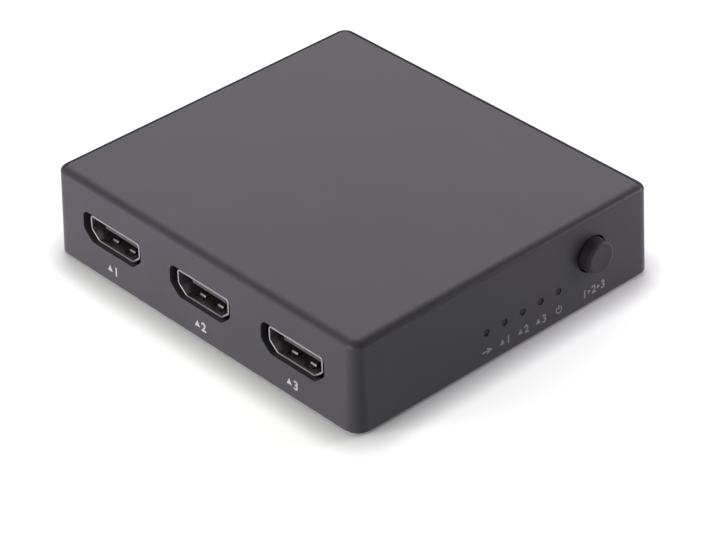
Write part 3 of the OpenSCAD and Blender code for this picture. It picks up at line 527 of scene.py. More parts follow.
# %% Cut the openings
MOUTH_W = 14.0
MOUTH_H = 4.55
MOUTH_LOW_W = 10.0
MOUTH_SIDE_H = 2.8
MOUTH_R = 0.5
SHEET = 0.45
INPUTS = ("input_1", "input_2", "input_3")


def rounded(points, radius, steps=6):
    """A closed outline with every corner rounded."""
    made = []
    for i, corner in enumerate(points):
        back = (points[i - 1] - corner).normalized()
        ahead = (points[(i + 1) % len(points)] - corner).normalized()
        half = math.acos(back.dot(ahead)) / 2
        centre = corner + (back + ahead).normalized() * radius / math.sin(half)
        first = corner + back * radius / math.tan(half) - centre
        last = corner + ahead * radius / math.tan(half) - centre
        for step in range(steps + 1):
            made.append(centre + radius * first.lerp(last, step / steps).normalized())
    return made


def mouth_ring(x, grow, spread=0, rise=0):
    """Points round a socket's mouth at a depth x, grown all round, spread at its ends and raised."""
    slope = math.atan2((MOUTH_W - MOUTH_LOW_W) / 2, MOUTH_H - MOUTH_SIDE_H)
    wide = MOUTH_W / 2 + grow + spread
    low_wide = MOUTH_LOW_W / 2 + grow * math.tan(math.pi / 4 - slope / 2) + spread
    high = MOUTH_H / 2 + grow
    side = MOUTH_H / 2 - MOUTH_SIDE_H - grow * math.tan(slope / 2)
    corners = [(wide, high), (-wide, high), (-wide, side),
               (-low_wide, -high), (low_wide, -high), (wide, side)]
    outline = rounded([Vector((y, z + rise)) for y, z in corners], MOUTH_R + max(grow, 0))
    return [(x, y, z) for y, z in outline]


TURN_ROUND = Matrix.Rotation(math.pi, 4, "Z")
socket_place = {name: Matrix.Translation(mount_at[name]) for name in INPUTS}
socket_place["output"] = Matrix.Translation(mount_at["output"]) @ TURN_ROUND
jack_place = Matrix.Translation(mount_at["power_inlet"]) @ TURN_ROUND

button_low, button_high = node_box("select_button")
button_x = (button_low.x + button_high.x) / 2
button_z = (button_low.z + button_high.z) / 2
LIGHTS = ("led_output", "led_input_1", "led_input_2", "led_input_3", "led_power")
light_boxes = [node_box(node) for node in LIGHTS]
light_xs = [(low.x + high.x) / 2 for low, high in light_boxes]
light_z = (light_boxes[0][0].z + light_boxes[0][1].z) / 2

BUTTON_R = 3.5
BUTTON_GAP = 0.35
LIGHT_R = 0.75
NOSE_R = 2.9
NOSE_GAP = 0.25
ROOM, END_ROOM, RISE = 0.4, 0.8, 0.35
CUT_EDGE = 0.1
# How far each cutter reaches, from outside the wall to behind it
SOCKET_CUT = (-3, 2.2)
JACK_CUT = (-3, 3)
opening = loft([mouth_ring(x, SHEET + ROOM, END_ROOM, RISE) for x in SOCKET_CUT])
openings = [moved(opening, place) for place in socket_place.values()]
openings.append(moved(turned([(NOSE_R + NOSE_GAP, x) for x in JACK_CUT], "X"), jack_place))
through = (-half_d - 2, -half_d + 4)
openings.append(turned([(BUTTON_R + BUTTON_GAP, y) for y in through], "Y", (button_x, 0, button_z)))
light_holes = [turned([(LIGHT_R, y) for y in through], "Y", (x, 0, light_z), 32) for x in light_xs]
shell = cut(eased(cut(shell, openings), CUT_EDGE), light_holes)
print("openings cut:", len(openings) + len(light_holes))

# %% [markdown]
# ## Screw posts and the finished shell
#
# Inside each corner of the shell a post hangs from the roof. The case screws bite into its bore. The
# posts are plain tubes with a blind bore, turned once and copied to the corners.

# %% Add the posts and place the shell
POST_R = 2.8
BORE_R = 1.35
POST_INSET = 5.9
POST_EDGE = 0.2
POST_SINK = 0.3
BORE_TOP = 9.0
post_span = {"Width": 2 * (half_w - POST_INSET), "Depth": 2 * (half_d - POST_INSET)}
post = turned([
    (BORE_R, BORE_TOP), (BORE_R, plate_top + POST_EDGE), (BORE_R + POST_EDGE, plate_top),
    (POST_R - POST_EDGE, plate_top), (POST_R, plate_top + POST_EDGE), (POST_R, top_z - ROOF + POST_SINK)])
posts = repeated(post, corner_tree, "case_plastic", **post_span)
piece("case_shell", joined([shell, posts]), "top_shell")

# %% [markdown]
# ## The base plate
#
# The plate closes the shell from below and sits in the step of its walls. It has a recess for each
# foot, a counterbored hole for each screw and four standoffs that carry the circuit board. It is
# drawn as the shell was, from rings, and then cut.

# %% Make the base plate
FOOT_R = 4.0
FOOT_STEP = 10.0
FOOT_SEAT = 0.9
FIT = 0.15
LOW_EDGE, TOP_EDGE = 0.25, 0.15
PLATE_INSET = WALL - REBATE + FIT
HEAD_T, HEAD_GAP = 1.1, 0.25
STANDOFF_R, STANDOFF_EDGE, STANDOFF_SINK = 2.6, 0.2, 0.5
STANDOFF_BORE_R, STANDOFF_BORE = 1.05, 2.9
BOARD_HEAD_R = 1.9
board_bottom = node_box("circuit_board")[0].z
board_screws_high = node_box("board_screws")[1]
screw_low, screw_high = node_box("case_screws")
foot_span = {"Width": post_span["Width"], "Depth": post_span["Depth"] - 2 * FOOT_STEP}
HEAD_R = screw_high.x - post_span["Width"] / 2
plate_section = [
    (reach(base_z, PLATE_INSET + LOW_EDGE), base_z),
    (reach(base_z, PLATE_INSET), base_z + LOW_EDGE),
    (reach(plate_top, PLATE_INSET), plate_top - TOP_EDGE),
    (reach(plate_top, PLATE_INSET + TOP_EDGE), plate_top),
]
plate = loft([case_ring(radius, z) for radius, z in plate_section])
foot_recess = turned([(FOOT_R + FIT, z) for z in (base_z - 1, base_z + FOOT_SEAT)])
head_seat = screw_low.z + HEAD_T
screw_hole = turned([
    (HEAD_R + HEAD_GAP, base_z - 1), (HEAD_R + HEAD_GAP, head_seat),
    (BORE_R, head_seat), (BORE_R, plate_top + 1.5)])
plate = cut(plate, [
    repeated(foot_recess, corner_tree, "base_plastic", **foot_span),
    repeated(screw_hole, corner_tree, "base_plastic", **post_span)])
standoff = turned([
    (STANDOFF_BORE_R, board_bottom - STANDOFF_BORE), (STANDOFF_BORE_R, board_bottom),
    (STANDOFF_R - STANDOFF_EDGE, board_bottom), (STANDOFF_R, board_bottom - STANDOFF_EDGE),
    (STANDOFF_R, plate_top - STANDOFF_SINK)])
standoff_span = {
    "Width": 2 * (board_screws_high.x - BOARD_HEAD_R), "Depth": 2 * (board_screws_high.y - BOARD_HEAD_R)}
standoffs = repeated(standoff, corner_tree, "base_plastic", **standoff_span)
piece("base_moulding", joined([eased(plate, 0.12, 2), standoffs]), "base_plate")

# %% [markdown]
# ## Feet and screws
#
# The feet are rubber pads pressed into their recesses. Only half a millimetre stands out, with a soft
# edge. The screws have flat heads with a cross recess and a thread that is rolled, not cut: its ridge
# climbs round the shank. Each is drawn once and copied to the four corners.

# %% Make the feet and the case screws
FOOT_T = 1.4
FOOT_EDGE, FOOT_TOP_EDGE = 0.4, 0.1
foot = turned([
    (1.2, 0), (3.2, 0), *arc((FOOT_R - FOOT_EDGE, FOOT_EDGE), FOOT_EDGE, -90, 0),
    (FOOT_R, FOOT_T - FOOT_TOP_EDGE), (FOOT_R - FOOT_TOP_EDGE, FOOT_T)])
feet = repeated(foot, corner_tree, "foot_rubber", **foot_span)
piece("feet", feet, "rubber_feet")

SCREW_R = 1.3
HEAD_EDGE, SEAT_EDGE = 0.3, 0.08
CROSS_LONG, CROSS_WIDE, CROSS_DEPTH = 1.35, 0.3, 0.6
head = turned([
    (HEAD_R - 1.5 * HEAD_EDGE, screw_low.z),
    *arc((HEAD_R - HEAD_EDGE, screw_low.z + HEAD_EDGE), HEAD_EDGE, -60, 0, 4),
    (HEAD_R, head_seat - SEAT_EDGE), (HEAD_R - SEAT_EDGE, head_seat), (0.9, head_seat)])
cross_top = screw_low.z + CROSS_DEPTH
cross = [block((-x, -y, -1), (x, y, cross_top))
         for x, y in ((CROSS_LONG, CROSS_WIDE), (CROSS_WIDE, CROSS_LONG))]
head = eased(cut(head, cross), 0.05, 2)


def thread(radius, depth, pitch, low, high, steps=20, levels=6, point=1.2, blunt=0.25):
    """A rolled thread: rings whose ridge is shifted by the turn, with a blunt point at the far end."""
    turns = [2 * math.pi * step / steps for step in range(steps)]
    rings = []
    for level in range(int((high - low) / pitch * levels) + 1):
        z = low + level * pitch / levels
        taper = min(1, (high - z) / point + blunt)
        ring = []
        for t in turns:
            ridge = 0.5 + 0.5 * math.cos(2 * math.pi * ((z - low) / pitch - t / (2 * math.pi)))
            r = (radius - depth * (1 - ridge ** 2)) * taper
            ring.append((r * math.cos(t), r * math.sin(t), z))
        rings.append(ring)
    return loft(rings)


shank = thread(SCREW_R, depth=0.3, pitch=0.9, low=head_seat - 0.3, high=screw_high.z)
screws = repeated(joined([head, shank]), corner_tree, "screw_steel", **post_span)
piece("base_screws", screws, "case_screws")

# %% [markdown]
# ## A video socket's shell
#
# The shell is bent from nickel-plated strip. Its mouth has a rolled edge that catches the light, and
# four spring fingers, two on the floor and two under the roof, are freed by slots and bent into the
# mouth to grip the plug. The front of each bend is steep and shines. The tube is a loft that closes on
# itself, the slots are cut, and each finger is a strip that follows a smooth hump. All four sockets
# share one drawing.

# %% Draw the socket shell
SHELL_LEN = 11.0
ROLL_R = 0.14
# The board's upper side below the middle of the mouth, its thickness, and what a leg stands out below
BOARD_AT, BOARD_T, LEG_OUT = -3.15, 1.6, 0.6
LEG_XS = (3.7, 9.2)
LEG_HALF, TIP_HALF = 0.7, 0.45
tube_section = [
    (SHELL_LEN, 0), *[(x, grow) for grow, x in arc((ROLL_R, ROLL_R), ROLL_R, 180, 270, 4)],
    *[(x, grow) for grow, x in arc((SHEET - ROLL_R, ROLL_R), ROLL_R, 270, 360, 4)], (SHELL_LEN, SHEET)]
tube = loft([mouth_ring(x, grow) for x, grow in tube_section], hollow=True)

FINGER_W = 1.6
FINGER_ROOT = 0.9
FINGER_RISE = 1.9
FINGER_BEND = 2.2
FINGER_END = 4.4
FINGER_LIFT = 0.35
FINGER_LAP = 0.3
FINGER_STEPS = 32
FINGER_YS = {-1: (-2.55, 2.55), 1: (-4.0, 4.0)}
slot_half = FINGER_W / 2 + FINGER_LAP
windows = []
for side, places in FINGER_YS.items():
    for y in places:
        zs = sorted((side * (MOUTH_H / 2 - SHEET), side * (MOUTH_H / 2 + 1)))
        far = FINGER_END + FINGER_LAP
        windows.append(block((FINGER_ROOT, y - slot_half, zs[0]), (far, y + slot_half, zs[1])))
tube = eased(cut(tube, windows), 0.05, 2, 50)


def finger(y, side):
    """A spring finger on the floor (side -1) or under the roof (side 1) of the mouth."""
    rings = []
    length = FINGER_END - FINGER_ROOT + FINGER_LAP
    for step in range(FINGER_STEPS + 1):
        x = FINGER_ROOT - FINGER_LAP + length * step / FINGER_STEPS
        share = (x - FINGER_RISE) / (FINGER_BEND - FINGER_RISE)
        if x > FINGER_BEND:
            share = 1 + (x - FINGER_BEND) / (FINGER_END - FINGER_BEND)
        lift = FINGER_LIFT * (0.5 - 0.5 * math.cos(math.pi * max(share, 0)))
        z = MOUTH_H / 2 + SHEET / 2 - lift
        flat = [Vector((a * FINGER_W / 2, b * SHEET / 2)) for a, b in SQUARE]
        rings.append([(x, y + p.x, side * (z + p.y)) for p in rounded(flat, 0.1, 3)])
    return loft(rings)


def solder_leg(x, side):
    """A leg that goes through the board, with a slimmer tip."""
    low = BOARD_AT - BOARD_T - LEG_OUT
    y = side * (MOUTH_W + SHEET) / 2
    widths = ((LEG_HALF, 0), (LEG_HALF, low + 0.9), (TIP_HALF, low + 0.5), (TIP_HALF, low))
    return loft([[(x + a * w, y + b * SHEET / 2, z) for a, b in SQUARE] for w, z in widths])


fingers = [finger(y, side) for side, places in FINGER_YS.items() for y in places]
legs = [solder_leg(x, side) for side in (-1, 1) for x in LEG_XS]
socket_shell = joined([tube, *fingers, *legs])
print("faces in a socket shell:", len(socket_shell.polygons))

# %% [markdown]
# ## The tongue and its contacts
#
# Behind the mouth a black block fills the shell and carries a tongue, and nineteen contacts lie on the
# tongue, ten above and nine below. At the back they bend down to the board. One contact is a bent
# strip, and the row tree repeats it once for each side.

# %% Draw the tongue and the contacts
TONGUE_TIP = 2.0
TONGUE_ROOT = 7.2
TONGUE_W = 11.0
TONGUE_T = 1.7
TONGUE_RISE = 0.15
REAR_X = SHELL_LEN + 1.2
tongue = block(
    (TONGUE_TIP, -TONGUE_W / 2, TONGUE_RISE - TONGUE_T / 2),
    (TONGUE_ROOT + 0.5, TONGUE_W / 2, TONGUE_RISE + TONGUE_T / 2))
filler = loft([mouth_ring(x, -0.05) for x in (TONGUE_ROOT, SHELL_LEN)])
rear_wall = block((SHELL_LEN, -MOUTH_W / 2, BOARD_AT), (REAR_X, MOUTH_W / 2, MOUTH_H / 2))
insulator = joined([eased(tongue, 0.22, 3), eased(filler, 0.05, 2), eased(rear_wall, 0.15, 2)])

CONTACT_W = 0.3
CONTACT_T = 0.2
CONTACT_PITCH = 1.0
CONTACT_PROUD = 0.05


def contact(side):
    """One contact of the upper (side 1) or lower (side -1) row, at the middle of the tongue."""
    level = TONGUE_RISE + side * (TONGUE_T / 2 + CONTACT_PROUD - CONTACT_T / 2)
    out = REAR_X + CONTACT_PROUD
    path = [(TONGUE_TIP + 0.4, level), (out + CONTACT_T / 2, level)]
    path += [(out + CONTACT_T / 2, BOARD_AT + CONTACT_T / 2), (out + 1, BOARD_AT + CONTACT_T / 2)]
    shift = CONTACT_T / 2
    rings = []
    for (x, z), mitre in zip(path, (0, shift, shift, 0)):
        rings.append([(x + a * mitre, b * CONTACT_W / 2, z + a * shift) for a, b in SQUARE])
    return eased(loft(rings), 0.03, 2)


def contact_row(side, count):
    """A row of contacts, spread about the middle of the tongue."""
    first = moved(contact(side), Matrix.Translation((0, -CONTACT_PITCH * (count - 1) / 2, 0)))
    return repeated(first, row_tree, "contact_gold", Count=count, Step=(0, CONTACT_PITCH, 0))


contacts = joined([contact_row(1, 10), contact_row(-1, 9)])
for name, place in socket_place.items():
    piece(f"{name}_tube", moved(socket_shell, place), f"{name}_shell")
    piece(f"{name}_tongue", moved(insulator, place), f"{name}_insulator")
    piece(f"{name}_pins", moved(contacts, place), f"{name}_contacts")

# %% [markdown]
# ## The power inlet
#
# A round nose of black plastic fills a hole in the right wall. The plug's sleeve goes into its bore
# and a centre pin into the plug. The nose is a cup from the lathe, with a rounded mouth, and it sits
# in a block that stands on the board.

# %% Make the power inlet
NOSE_LEN = 2.2
PLUG_R = 1.85
BORE_LEN = 8.4
JACK_LEN = 10.5
JACK_HALF, JACK_LOW, JACK_HIGH = 3.5, -3.2, 3.0
PIN_R, PIN_START, PIN_ROUND = 0.65, 1.35, 0.45
NOSE_EDGE = 0.2
CUP_FLOOR = 0.6
SNUG = 0.05
cup_end = BORE_LEN + CUP_FLOOR
cup = turned([
    (PIN_R + SNUG, BORE_LEN), (PLUG_R, BORE_LEN),
    *arc((PLUG_R + NOSE_EDGE, NOSE_EDGE), NOSE_EDGE, 180, 270, 4),
    *arc((NOSE_R - NOSE_EDGE, NOSE_EDGE), NOSE_EDGE, 270, 360, 4),
    (NOSE_R, cup_end), (PIN_R + SNUG, cup_end)], "X")
body = eased(block((NOSE_LEN, -JACK_HALF, JACK_LOW), (JACK_LEN, JACK_HALF, JACK_HIGH)), 0.25)
body = cut(body, [turned([(NOSE_R - SNUG, x) for x in (0, BORE_LEN + 0.4)], "X")])
inlet = moved(joined([cup, body]), jack_place)
piece("inlet_body", inlet, "power_jack_housing")

TAIL_T, TAIL_LOW = 0.3, -5.4
tail_x = JACK_LEN + SNUG
pin_tip = arc((PIN_R - PIN_ROUND, PIN_START), PIN_ROUND, 270, 360, 5)
pin = turned([*pin_tip, (PIN_R, tail_x + TAIL_T)], "X", steps=32)
tail = block((tail_x, -1, TAIL_LOW), (tail_x + TAIL_T, 1, PIN_R))
pin = moved(joined([pin, eased(tail, 0.06, 2)]), jack_place)
piece("inlet_pin", pin, "power_jack_pin")

# %% [markdown]
# ## The select button
#
# The button is a short round cap that stands out of the wall, with a well-rounded edge and a face that
# is dished by less than a tenth of a millimetre for the fingertip. A flange inside the wall keeps it
# from falling out, and a square socket at its back takes the plunger of the switch. It is turned as on
# a lathe and rides on its own body.

# %% Turn the button
BUTTON_EDGE = 0.7
DISH = 0.08
FLANGE_T, FLANGE_EDGE = 1.0, 0.1
PLUNGER_W, PLUNGER_GAP = 3.2, 0.05
face_y, rear_y = button_low.y, button_high.y
flange_y = rear_y - FLANGE_T
flange_r = (button_high.x - button_low.x) / 2
dish_r = BUTTON_R - BUTTON_EDGE
dish = [(share * dish_r, face_y + DISH * (1 - share ** 2)) for share in (0.1, 0.3, 0.5, 0.7, 0.85)]
cap = turned([
    *dish, *arc((dish_r, face_y + BUTTON_EDGE), BUTTON_EDGE, -90, 0, 10),
    (BUTTON_R, flange_y), (flange_r - FLANGE_EDGE, flange_y), (flange_r, flange_y + FLANGE_EDGE),
    (flange_r, rear_y - FLANGE_EDGE), (flange_r - FLANGE_EDGE, rear_y)], "Y", (button_x, 0, button_z), 64)
plunger_y = node_box("switch_plunger")[0].y
shaft = PLUNGER_W / 2 + PLUNGER_GAP
socket = block(
    (button_x - shaft, plunger_y - PLUNGER_GAP, button_z - shaft),
    (button_x + shaft, rear_y + 1, button_z + shaft))
piece("button_cap", cut(cap, [socket]), "select_button", body="button")

# %% [markdown]
# ## The return spring
#
# Inside the switch a coil of thin tinned wire pushes the plunger, and with it the button, back out. A
# real one is wound cold on a mandrel, with its turns evenly apart. Here a ring of points runs along the
# helix, between the ends of the measured spring.

# %% Wind the return spring
spring_low, spring_high = node_box("switch_spring")
WIRE_R, WIRE_SIDES = 0.2, 10
COIL_TURNS, TURN_STEPS = 5, 24
coil_r = (spring_high.x - spring_low.x) / 2 - WIRE_R
coil_start, coil_end = spring_low.y + WIRE_R, spring_high.y - WIRE_R
wire = []
for step in range(COIL_TURNS * TURN_STEPS + 1):
    turn = 2 * math.pi * step / TURN_STEPS
    along = coil_start + (coil_end - coil_start) * step / (COIL_TURNS * TURN_STEPS)
    section = arc((coil_r, along), WIRE_R, 0, 360 - 360 / WIRE_SIDES, WIRE_SIDES - 1)
    wire.append([(button_x + r * math.cos(turn), y, button_z + r * math.sin(turn)) for r, y in section])
spring = piece("return_spring", loft(wire), "switch_spring")
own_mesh(spring)

# %% [markdown]
# ## The light guide
#
# Five lights on the board shine into one moulding of smoked plastic, a bar with a pin for each hole in
# the wall. The pins end in a low dome nearly level with the wall, so an unlit light is a soft dark dot.
# The solid's pins end deeper down the hole. One pin comes from the lathe and the row tree sets the
# five.

# %% Make the light guide
guide_low, guide_high = node_box("light_guide")
PIN_GAP = 0.05
pin_r = LIGHT_R - PIN_GAP
DOME = 0.06
PIN_REACH = 0.92
BAR_T = 1.0
tip_y = guide_low.y - PIN_REACH
dome = [(pin_r * math.sin(math.radians(a)), tip_y + DOME * (1 - math.cos(math.radians(a))))
        for a in (8, 25, 45, 65, 80, 90)]
light_pin = turned([*dome, (pin_r, guide_high.y - BAR_T / 2)], "Y", (light_xs[0], 0, light_z), 32)
light_step = (light_xs[1] - light_xs[0], 0, 0)
pins = repeated(light_pin, row_tree, "guide_plastic", Count=len(LIGHTS), Step=light_step)
bar = block((guide_low.x, guide_high.y - BAR_T, guide_low.z), tuple(guide_high))
piece("light_pipe", joined([pins, eased(bar, 0.1, 2)]), "light_guide")

# %% [markdown]
# ## Printed marks
#
# Small marks in light grey ink tell the sockets, the lights and the button apart. They are pad-printed
# on the finished moulding. Plain numbers with a small arrow head are enough here: an arrow head and a
# number for an input, an arrow for the output, a ring with a bar for the power. Each mark is a flat
# outline with the thickness of an ink film, laid on the leaning wall.

# %% Draw marks and print them on the walls
INK_T = 0.03
# The pad presses the ink a little outwards; a figure is 0.7 of its font's size high
INK_SPREAD, FIGURE_H = 0.025, 0.7
STROKE, ARROW_HALF = 0.26, 0.16
# Pad-print ink: an opaque light grey film, matt beside the satin plastic
ink = finish("Ink, pad-printed light grey", ("#a0a0a6", "#acacb0"), 0.8, (0.5, 0.62), 0.2, 0.002, IOR=1.5)


def flat_shape(points):
    """A filled outline as thick as the ink film, drawn in x and y."""
    return loft([[(x, y, z) for x, y in points] for z in (-INK_T / 2, INK_T / 2)])


def number(text, height, at):
    """A number in plain figures, centred at a point and made a mesh before it is placed."""
    curve = bpy.data.curves.new("number", "FONT")
    curve.body = text
    curve.size = 1
    curve.extrude = 0.5 * INK_T
    curve.offset = INK_SPREAD
    curve.align_x = "CENTER"
    grow = height / FIGURE_H
    size = Matrix.Diagonal((grow, grow, 1, 1))
    return moved(frozen(placed("number", curve)), Matrix.Translation((at[0], at[1] - height / 2, 0)) @ size)


def arrow_head(size, at, turn=0):
    """A filled triangle that points up, or turned by an angle in degrees."""
    corners = [(0, size * 0.55), (-size * 0.5, -size * 0.4), (size * 0.5, -size * 0.4)]
    place = Matrix.Translation((*at, 0)) @ Matrix.Rotation(math.radians(turn), 4, "Z")
    return moved(flat_shape(corners), place)


def input_mark(text, height):
    """The mark of an input: an arrow head and its number."""
    return joined([arrow_head(height * 0.75, (-height * 0.45, 0)), number(text, height, (height * 0.5, 0))])


def output_mark(height):
    """The mark of the output: a short arrow to the right."""
    tail, neck = -height * 0.75, height * 0.1
    bar = [(tail, -ARROW_HALF), (neck, -ARROW_HALF), (neck, ARROW_HALF), (tail, ARROW_HALF)]
    return joined([flat_shape(bar), arrow_head(height * 0.85, (height * 0.35, 0), -90)])


def power_mark(height):
    """The mark of the power: an open ring with a bar in its gap."""
    outer, half = height * 0.5, STROKE / 2
    ring = arc((0, 0), outer, 125, 415, 20) + arc((0, 0), outer - STROKE, 415, 125, 20)
    bar = [(-half, 0.05), (half, 0.05), (half, outer + 0.15), (-half, outer + 0.15)]
    return joined([flat_shape(ring), flat_shape(bar)])


def on_wall(wall, along, z):
    """The place on a leaning wall, with x to the right and y up the wall for someone who faces it."""
    face = (half_d if wall == "front" else half_w) - (z - base_z) * LEAN
    tilt = Matrix.Rotation(math.radians(90 - DRAFT), 4, "X")
    turn = Matrix.Rotation(math.radians(0 if wall == "front" else -90), 4, "Z")
    spot = Vector((along, -face, z)) if wall == "front" else Vector((-face, along, z))
    return Matrix.Translation(spot) @ turn @ tilt


PORT_MARK, PORT_MARK_Z = 1.9, 3.7
LIGHT_MARK, LIGHT_MARK_Z = 1.7, 3.2
ORDER_STEP, ORDER_ARROW, ORDER_SHIFT, ORDER_Z = 2.5, 0.9, 0.3, 3.4
marks = []
for name in INPUTS:
    marks.append(moved(input_mark(name[-1], PORT_MARK), on_wall("left", mount_at[name].y, PORT_MARK_Z)))
light_marks = [input_mark(text, LIGHT_MARK) for text in "123"]
light_marks = [output_mark(LIGHT_MARK), *light_marks, power_mark(LIGHT_MARK)]
for x, mark in zip(light_xs, light_marks):
    marks.append(moved(mark, on_wall("front", x, LIGHT_MARK_Z)))
order = [number(text, LIGHT_MARK, (ORDER_STEP * i, 0)) for i, text in zip((-1, 0, 1), "123")]
order += [arrow_head(ORDER_ARROW, (ORDER_STEP * i, 0), -90) for i in (-0.5, 0.5)]
marks.append(moved(joined(order), on_wall("front", button_x + ORDER_SHIFT, ORDER_Z)))
piece("printed_marks", joined(marks), look=ink)

# %% [markdown]
# ## What stays inside
#
# Nobody sees the board and its parts until the box is opened, and their solids already have the right
# shape. They stay as they are and take the finish of the real material, by the record's own list.

# %% Finish the solids that stay
SHARP_FROM = math.radians(30)
kept = [node for node, solid in frame["nodes"].items() if not solid.hide_render]
for node in kept:
    solid = frame["nodes"][node]
    solid.data.materials.clear()
    solid.data.materials.append(finishes[slot_of[node]])
    solid.data.set_sharp_from_angle(angle=SHARP_FROM)
print("solids kept:", len(kept))

# %% [markdown]
# ## The table
#
# The box stands on white paper. Lamps alone would have to be very strong to take paper to white, so it
# gets some light of its own, which only the camera and reflections see. Close to the box, an occlusion
# test fades the camera's share of that light. This paints the narrow contact shadow at the foot of the
# walls. Far from the box, where the lamps no longer reach, it rises to full white. Seen from below the
# sheet is clear, and a lamp below shines through it, so that the base and the feet can be looked at.

# %% Lay the table
scene = bpy.context.scene
TABLE_GLOW = 0.66
GLOW_NEAR, GLOW_FAR = 0.12, 0.3
# Reach in millimetres and steepness of the painted contact shadow at the box's foot
SHADOW_REACH, SHADOW_FALL = 7, 3
TABLE_HALF = 3.0
PULP, PAPER_TONES = 3, (0.88, 0.9)

paper = bpy.data.materials.new("Paper, white table")
paper.use_nodes = True
tree = paper.node_tree
tree.nodes.clear()
place = add(tree, "ShaderNodeTexCoord").outputs["Object"]
pulp = add(tree, "ShaderNodeTexNoise", {"Vector": place, "Scale": 1 / (PULP * MM), "Detail": 2})
tone = ramp(tree, pulp.outputs["Fac"], 0, 1, *PAPER_TONES)
sheet = add(tree, "ShaderNodeBsdfDiffuse", {"Color": tone})
rays = add(tree, "ShaderNodeLightPath").outputs
# Painted shadow: ambient occlusion fades the paper's own light near the box, for the camera only
painted_shadow_fade = add(tree, "ShaderNodeAmbientOcclusion", {"Distance": SHADOW_REACH * MM}, samples=8).outputs["AO"]
painted_shadow_fade = calc(tree, "POWER", painted_shadow_fade, SHADOW_FALL)
seen = calc(tree, "MULTIPLY_ADD", rays["Is Camera Ray"], painted_shadow_fade, rays["Is Glossy Ray"])
seen = calc(tree, "ADD", seen, rays["Is Transmission Ray"])
far = add(tree, "ShaderNodeVectorMath", {0: place}, operation="LENGTH").outputs["Value"]
own_light = ramp(tree, far, GLOW_NEAR, GLOW_FAR, TABLE_GLOW)
glow = calc(tree, "MULTIPLY", seen, own_light, use_clamp=True)
light = add(tree, "ShaderNodeEmission", {"Strength": glow})
lit = add(tree, "ShaderNodeAddShader", {0: sheet.outputs[0], 1: light.outputs[0]})
clear = add(tree, "ShaderNodeBsdfTransparent")
back = add(tree, "ShaderNodeNewGeometry").outputs["Backfacing"]
below = calc(tree, "MAXIMUM", back, rays["Is Shadow Ray"])
both = add(tree, "ShaderNodeMixShader", {0: below, 1: lit.outputs[0], 2: clear.outputs[0]})
add(tree, "ShaderNodeOutputMaterial", {"Surface": both.outputs[0]})

table_mesh = bpy.data.meshes.new("table")
corners = [(x * TABLE_HALF, y * TABLE_HALF, 0) for x, y in SQUARE]
table_mesh.from_pydata(corners, [], [(0, 1, 2, 3)])
table_mesh.materials.append(paper)
table = placed("table", table_mesh)
print("table, m:", 2 * TABLE_HALF, "its own light:", TABLE_GLOW)

# %% [markdown]
# ## The room and the lamps
#
# A room with pale walls is white where the camera sees it and somewhat dimmer in reflections. Two small
# lamps on the left light the input wall. The lower one stands behind a grid, so it is left out of
# reflections: otherwise the roof would flash when it is seen from the right. A wide panel behind is
# mirrored by the roof as a grey sheen, and a small lamp near the button's end of the front wall makes
# that end lighter. The panel is a touch cooler than the lamps on the left, so the roof looks a little
# bluer than that wall.

# %% Set up the room and the lamps
ROOM_GLOW = 0.62
WARM, COOL, PLAIN = "#fffffb", "#fcf7ff", "#ffffff"

room = bpy.data.worlds.new("Studio room")
scene.world = room
room.use_nodes = True
tree = room.node_tree
rays = add(tree, "ShaderNodeLightPath").outputs
seen = calc(tree, "ADD", rays["Is Glossy Ray"], rays["Is Transmission Ray"])
seen = calc(tree, "MULTIPLY_ADD", seen, ROOM_GLOW, rays["Is Camera Ray"])
backdrop = tree.nodes["Background"].inputs
backdrop["Color"].default_value = linear(PLAIN)
tree.links.new(seen, backdrop["Strength"])


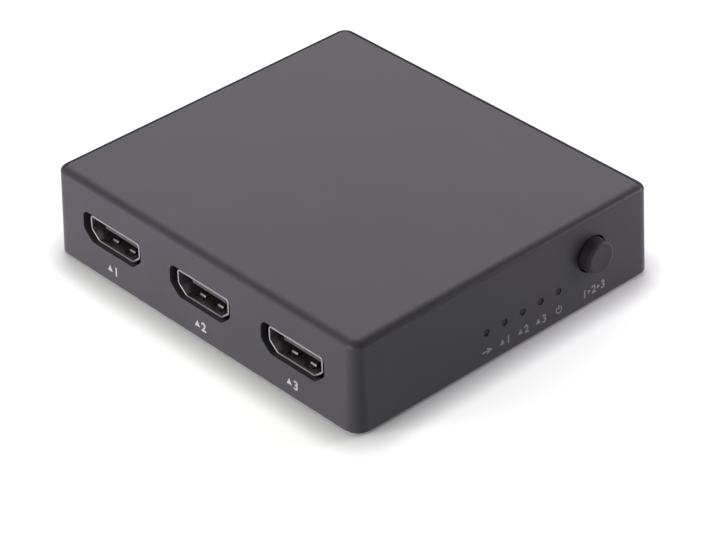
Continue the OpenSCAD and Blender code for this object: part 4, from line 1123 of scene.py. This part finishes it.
def soft_box(name, direction, distance, size, strength, tint, mirrored=True):
    """A square lamp that faces the box from a direction; strength is its brightness, 1 being white."""
    lamp = bpy.data.lights.new(name, "AREA")
    lamp.shape = "SQUARE"
    lamp.size = size
    lamp.color = linear(tint)[:3]
    lamp.energy = strength * math.pi * size ** 2
    thing = placed(name, lamp)
    way = Vector(direction).normalized()
    facing = way.to_track_quat("Z", "Y").to_matrix().to_4x4()
    thing.matrix_world = Matrix.Translation(way * distance) @ facing
    thing.visible_glossy = mirrored


# Direction, distance and size in metres, brightness, tint
soft_box("Small lamp, left", (-0.3, 0.0, 0.12), 0.32, 0.2, 3.5, WARM)
soft_box("Low lamp, left", (-0.3, 0.12, 0.035), 0.33, 0.07, 56, WARM, mirrored=False)
soft_box("Panel, behind", (0.55, 0.61, 0.56), 1.0, 0.9, 2.1, COOL)
soft_box("Small lamp, right", (0.14, -0.1, 0.06), 0.182, 0.08, 6.4, COOL)
soft_box("Lamp, below", (0, 0.13, -0.38), 0.4, 0.1, 45, PLAIN)
print("lamps:", ", ".join(sorted(lamp.name for lamp in bpy.data.lights)))

# %% [markdown]
# ## The camera
#
# The view is that of the reference picture: from the front left, 34 degrees above the table, with a
# long lens, so that upright edges stay nearly parallel. The numbers come from fitting the corners of
# the case to the picture, and the picture has a slight roll, which the camera repeats.

# %% Place the camera
AZIMUTH, ELEVATION, ROLL = math.radians(-41.945), math.radians(34.316), math.radians(-1.576)
DISTANCE, SIDE, LIFT = 625.78, -1.136, 2.373
FOCAL_PX, FRAME_W = 3194.5, 716
behind = Vector((
    math.sin(AZIMUTH) * math.cos(ELEVATION), -math.cos(AZIMUTH) * math.cos(ELEVATION), math.sin(ELEVATION)))
right = Vector((math.cos(AZIMUTH), math.sin(AZIMUTH), 0))
upward = behind.cross(right)
right, upward = (
    right * math.cos(ROLL) + upward * math.sin(ROLL),
    upward * math.cos(ROLL) - right * math.sin(ROLL))
eye = behind * DISTANCE - right * SIDE - upward * LIFT + middle + Vector((0, 0, base_z))
lens = bpy.data.cameras.new("Camera")
lens.sensor_width = 36
lens.lens = FOCAL_PX * lens.sensor_width / FRAME_W
lens.clip_start, lens.clip_end = 0.01, 20
camera = placed("Camera", lens)
axes = Matrix((right, upward, behind)).transposed().to_4x4()
camera.matrix_world = Matrix.Translation(eye * MM) @ axes
scene.camera = camera
scene.view_settings.view_transform = "Standard"
print("lens, mm:", round(lens.lens, 1), "camera, mm:", [round(v, 1) for v in eye])
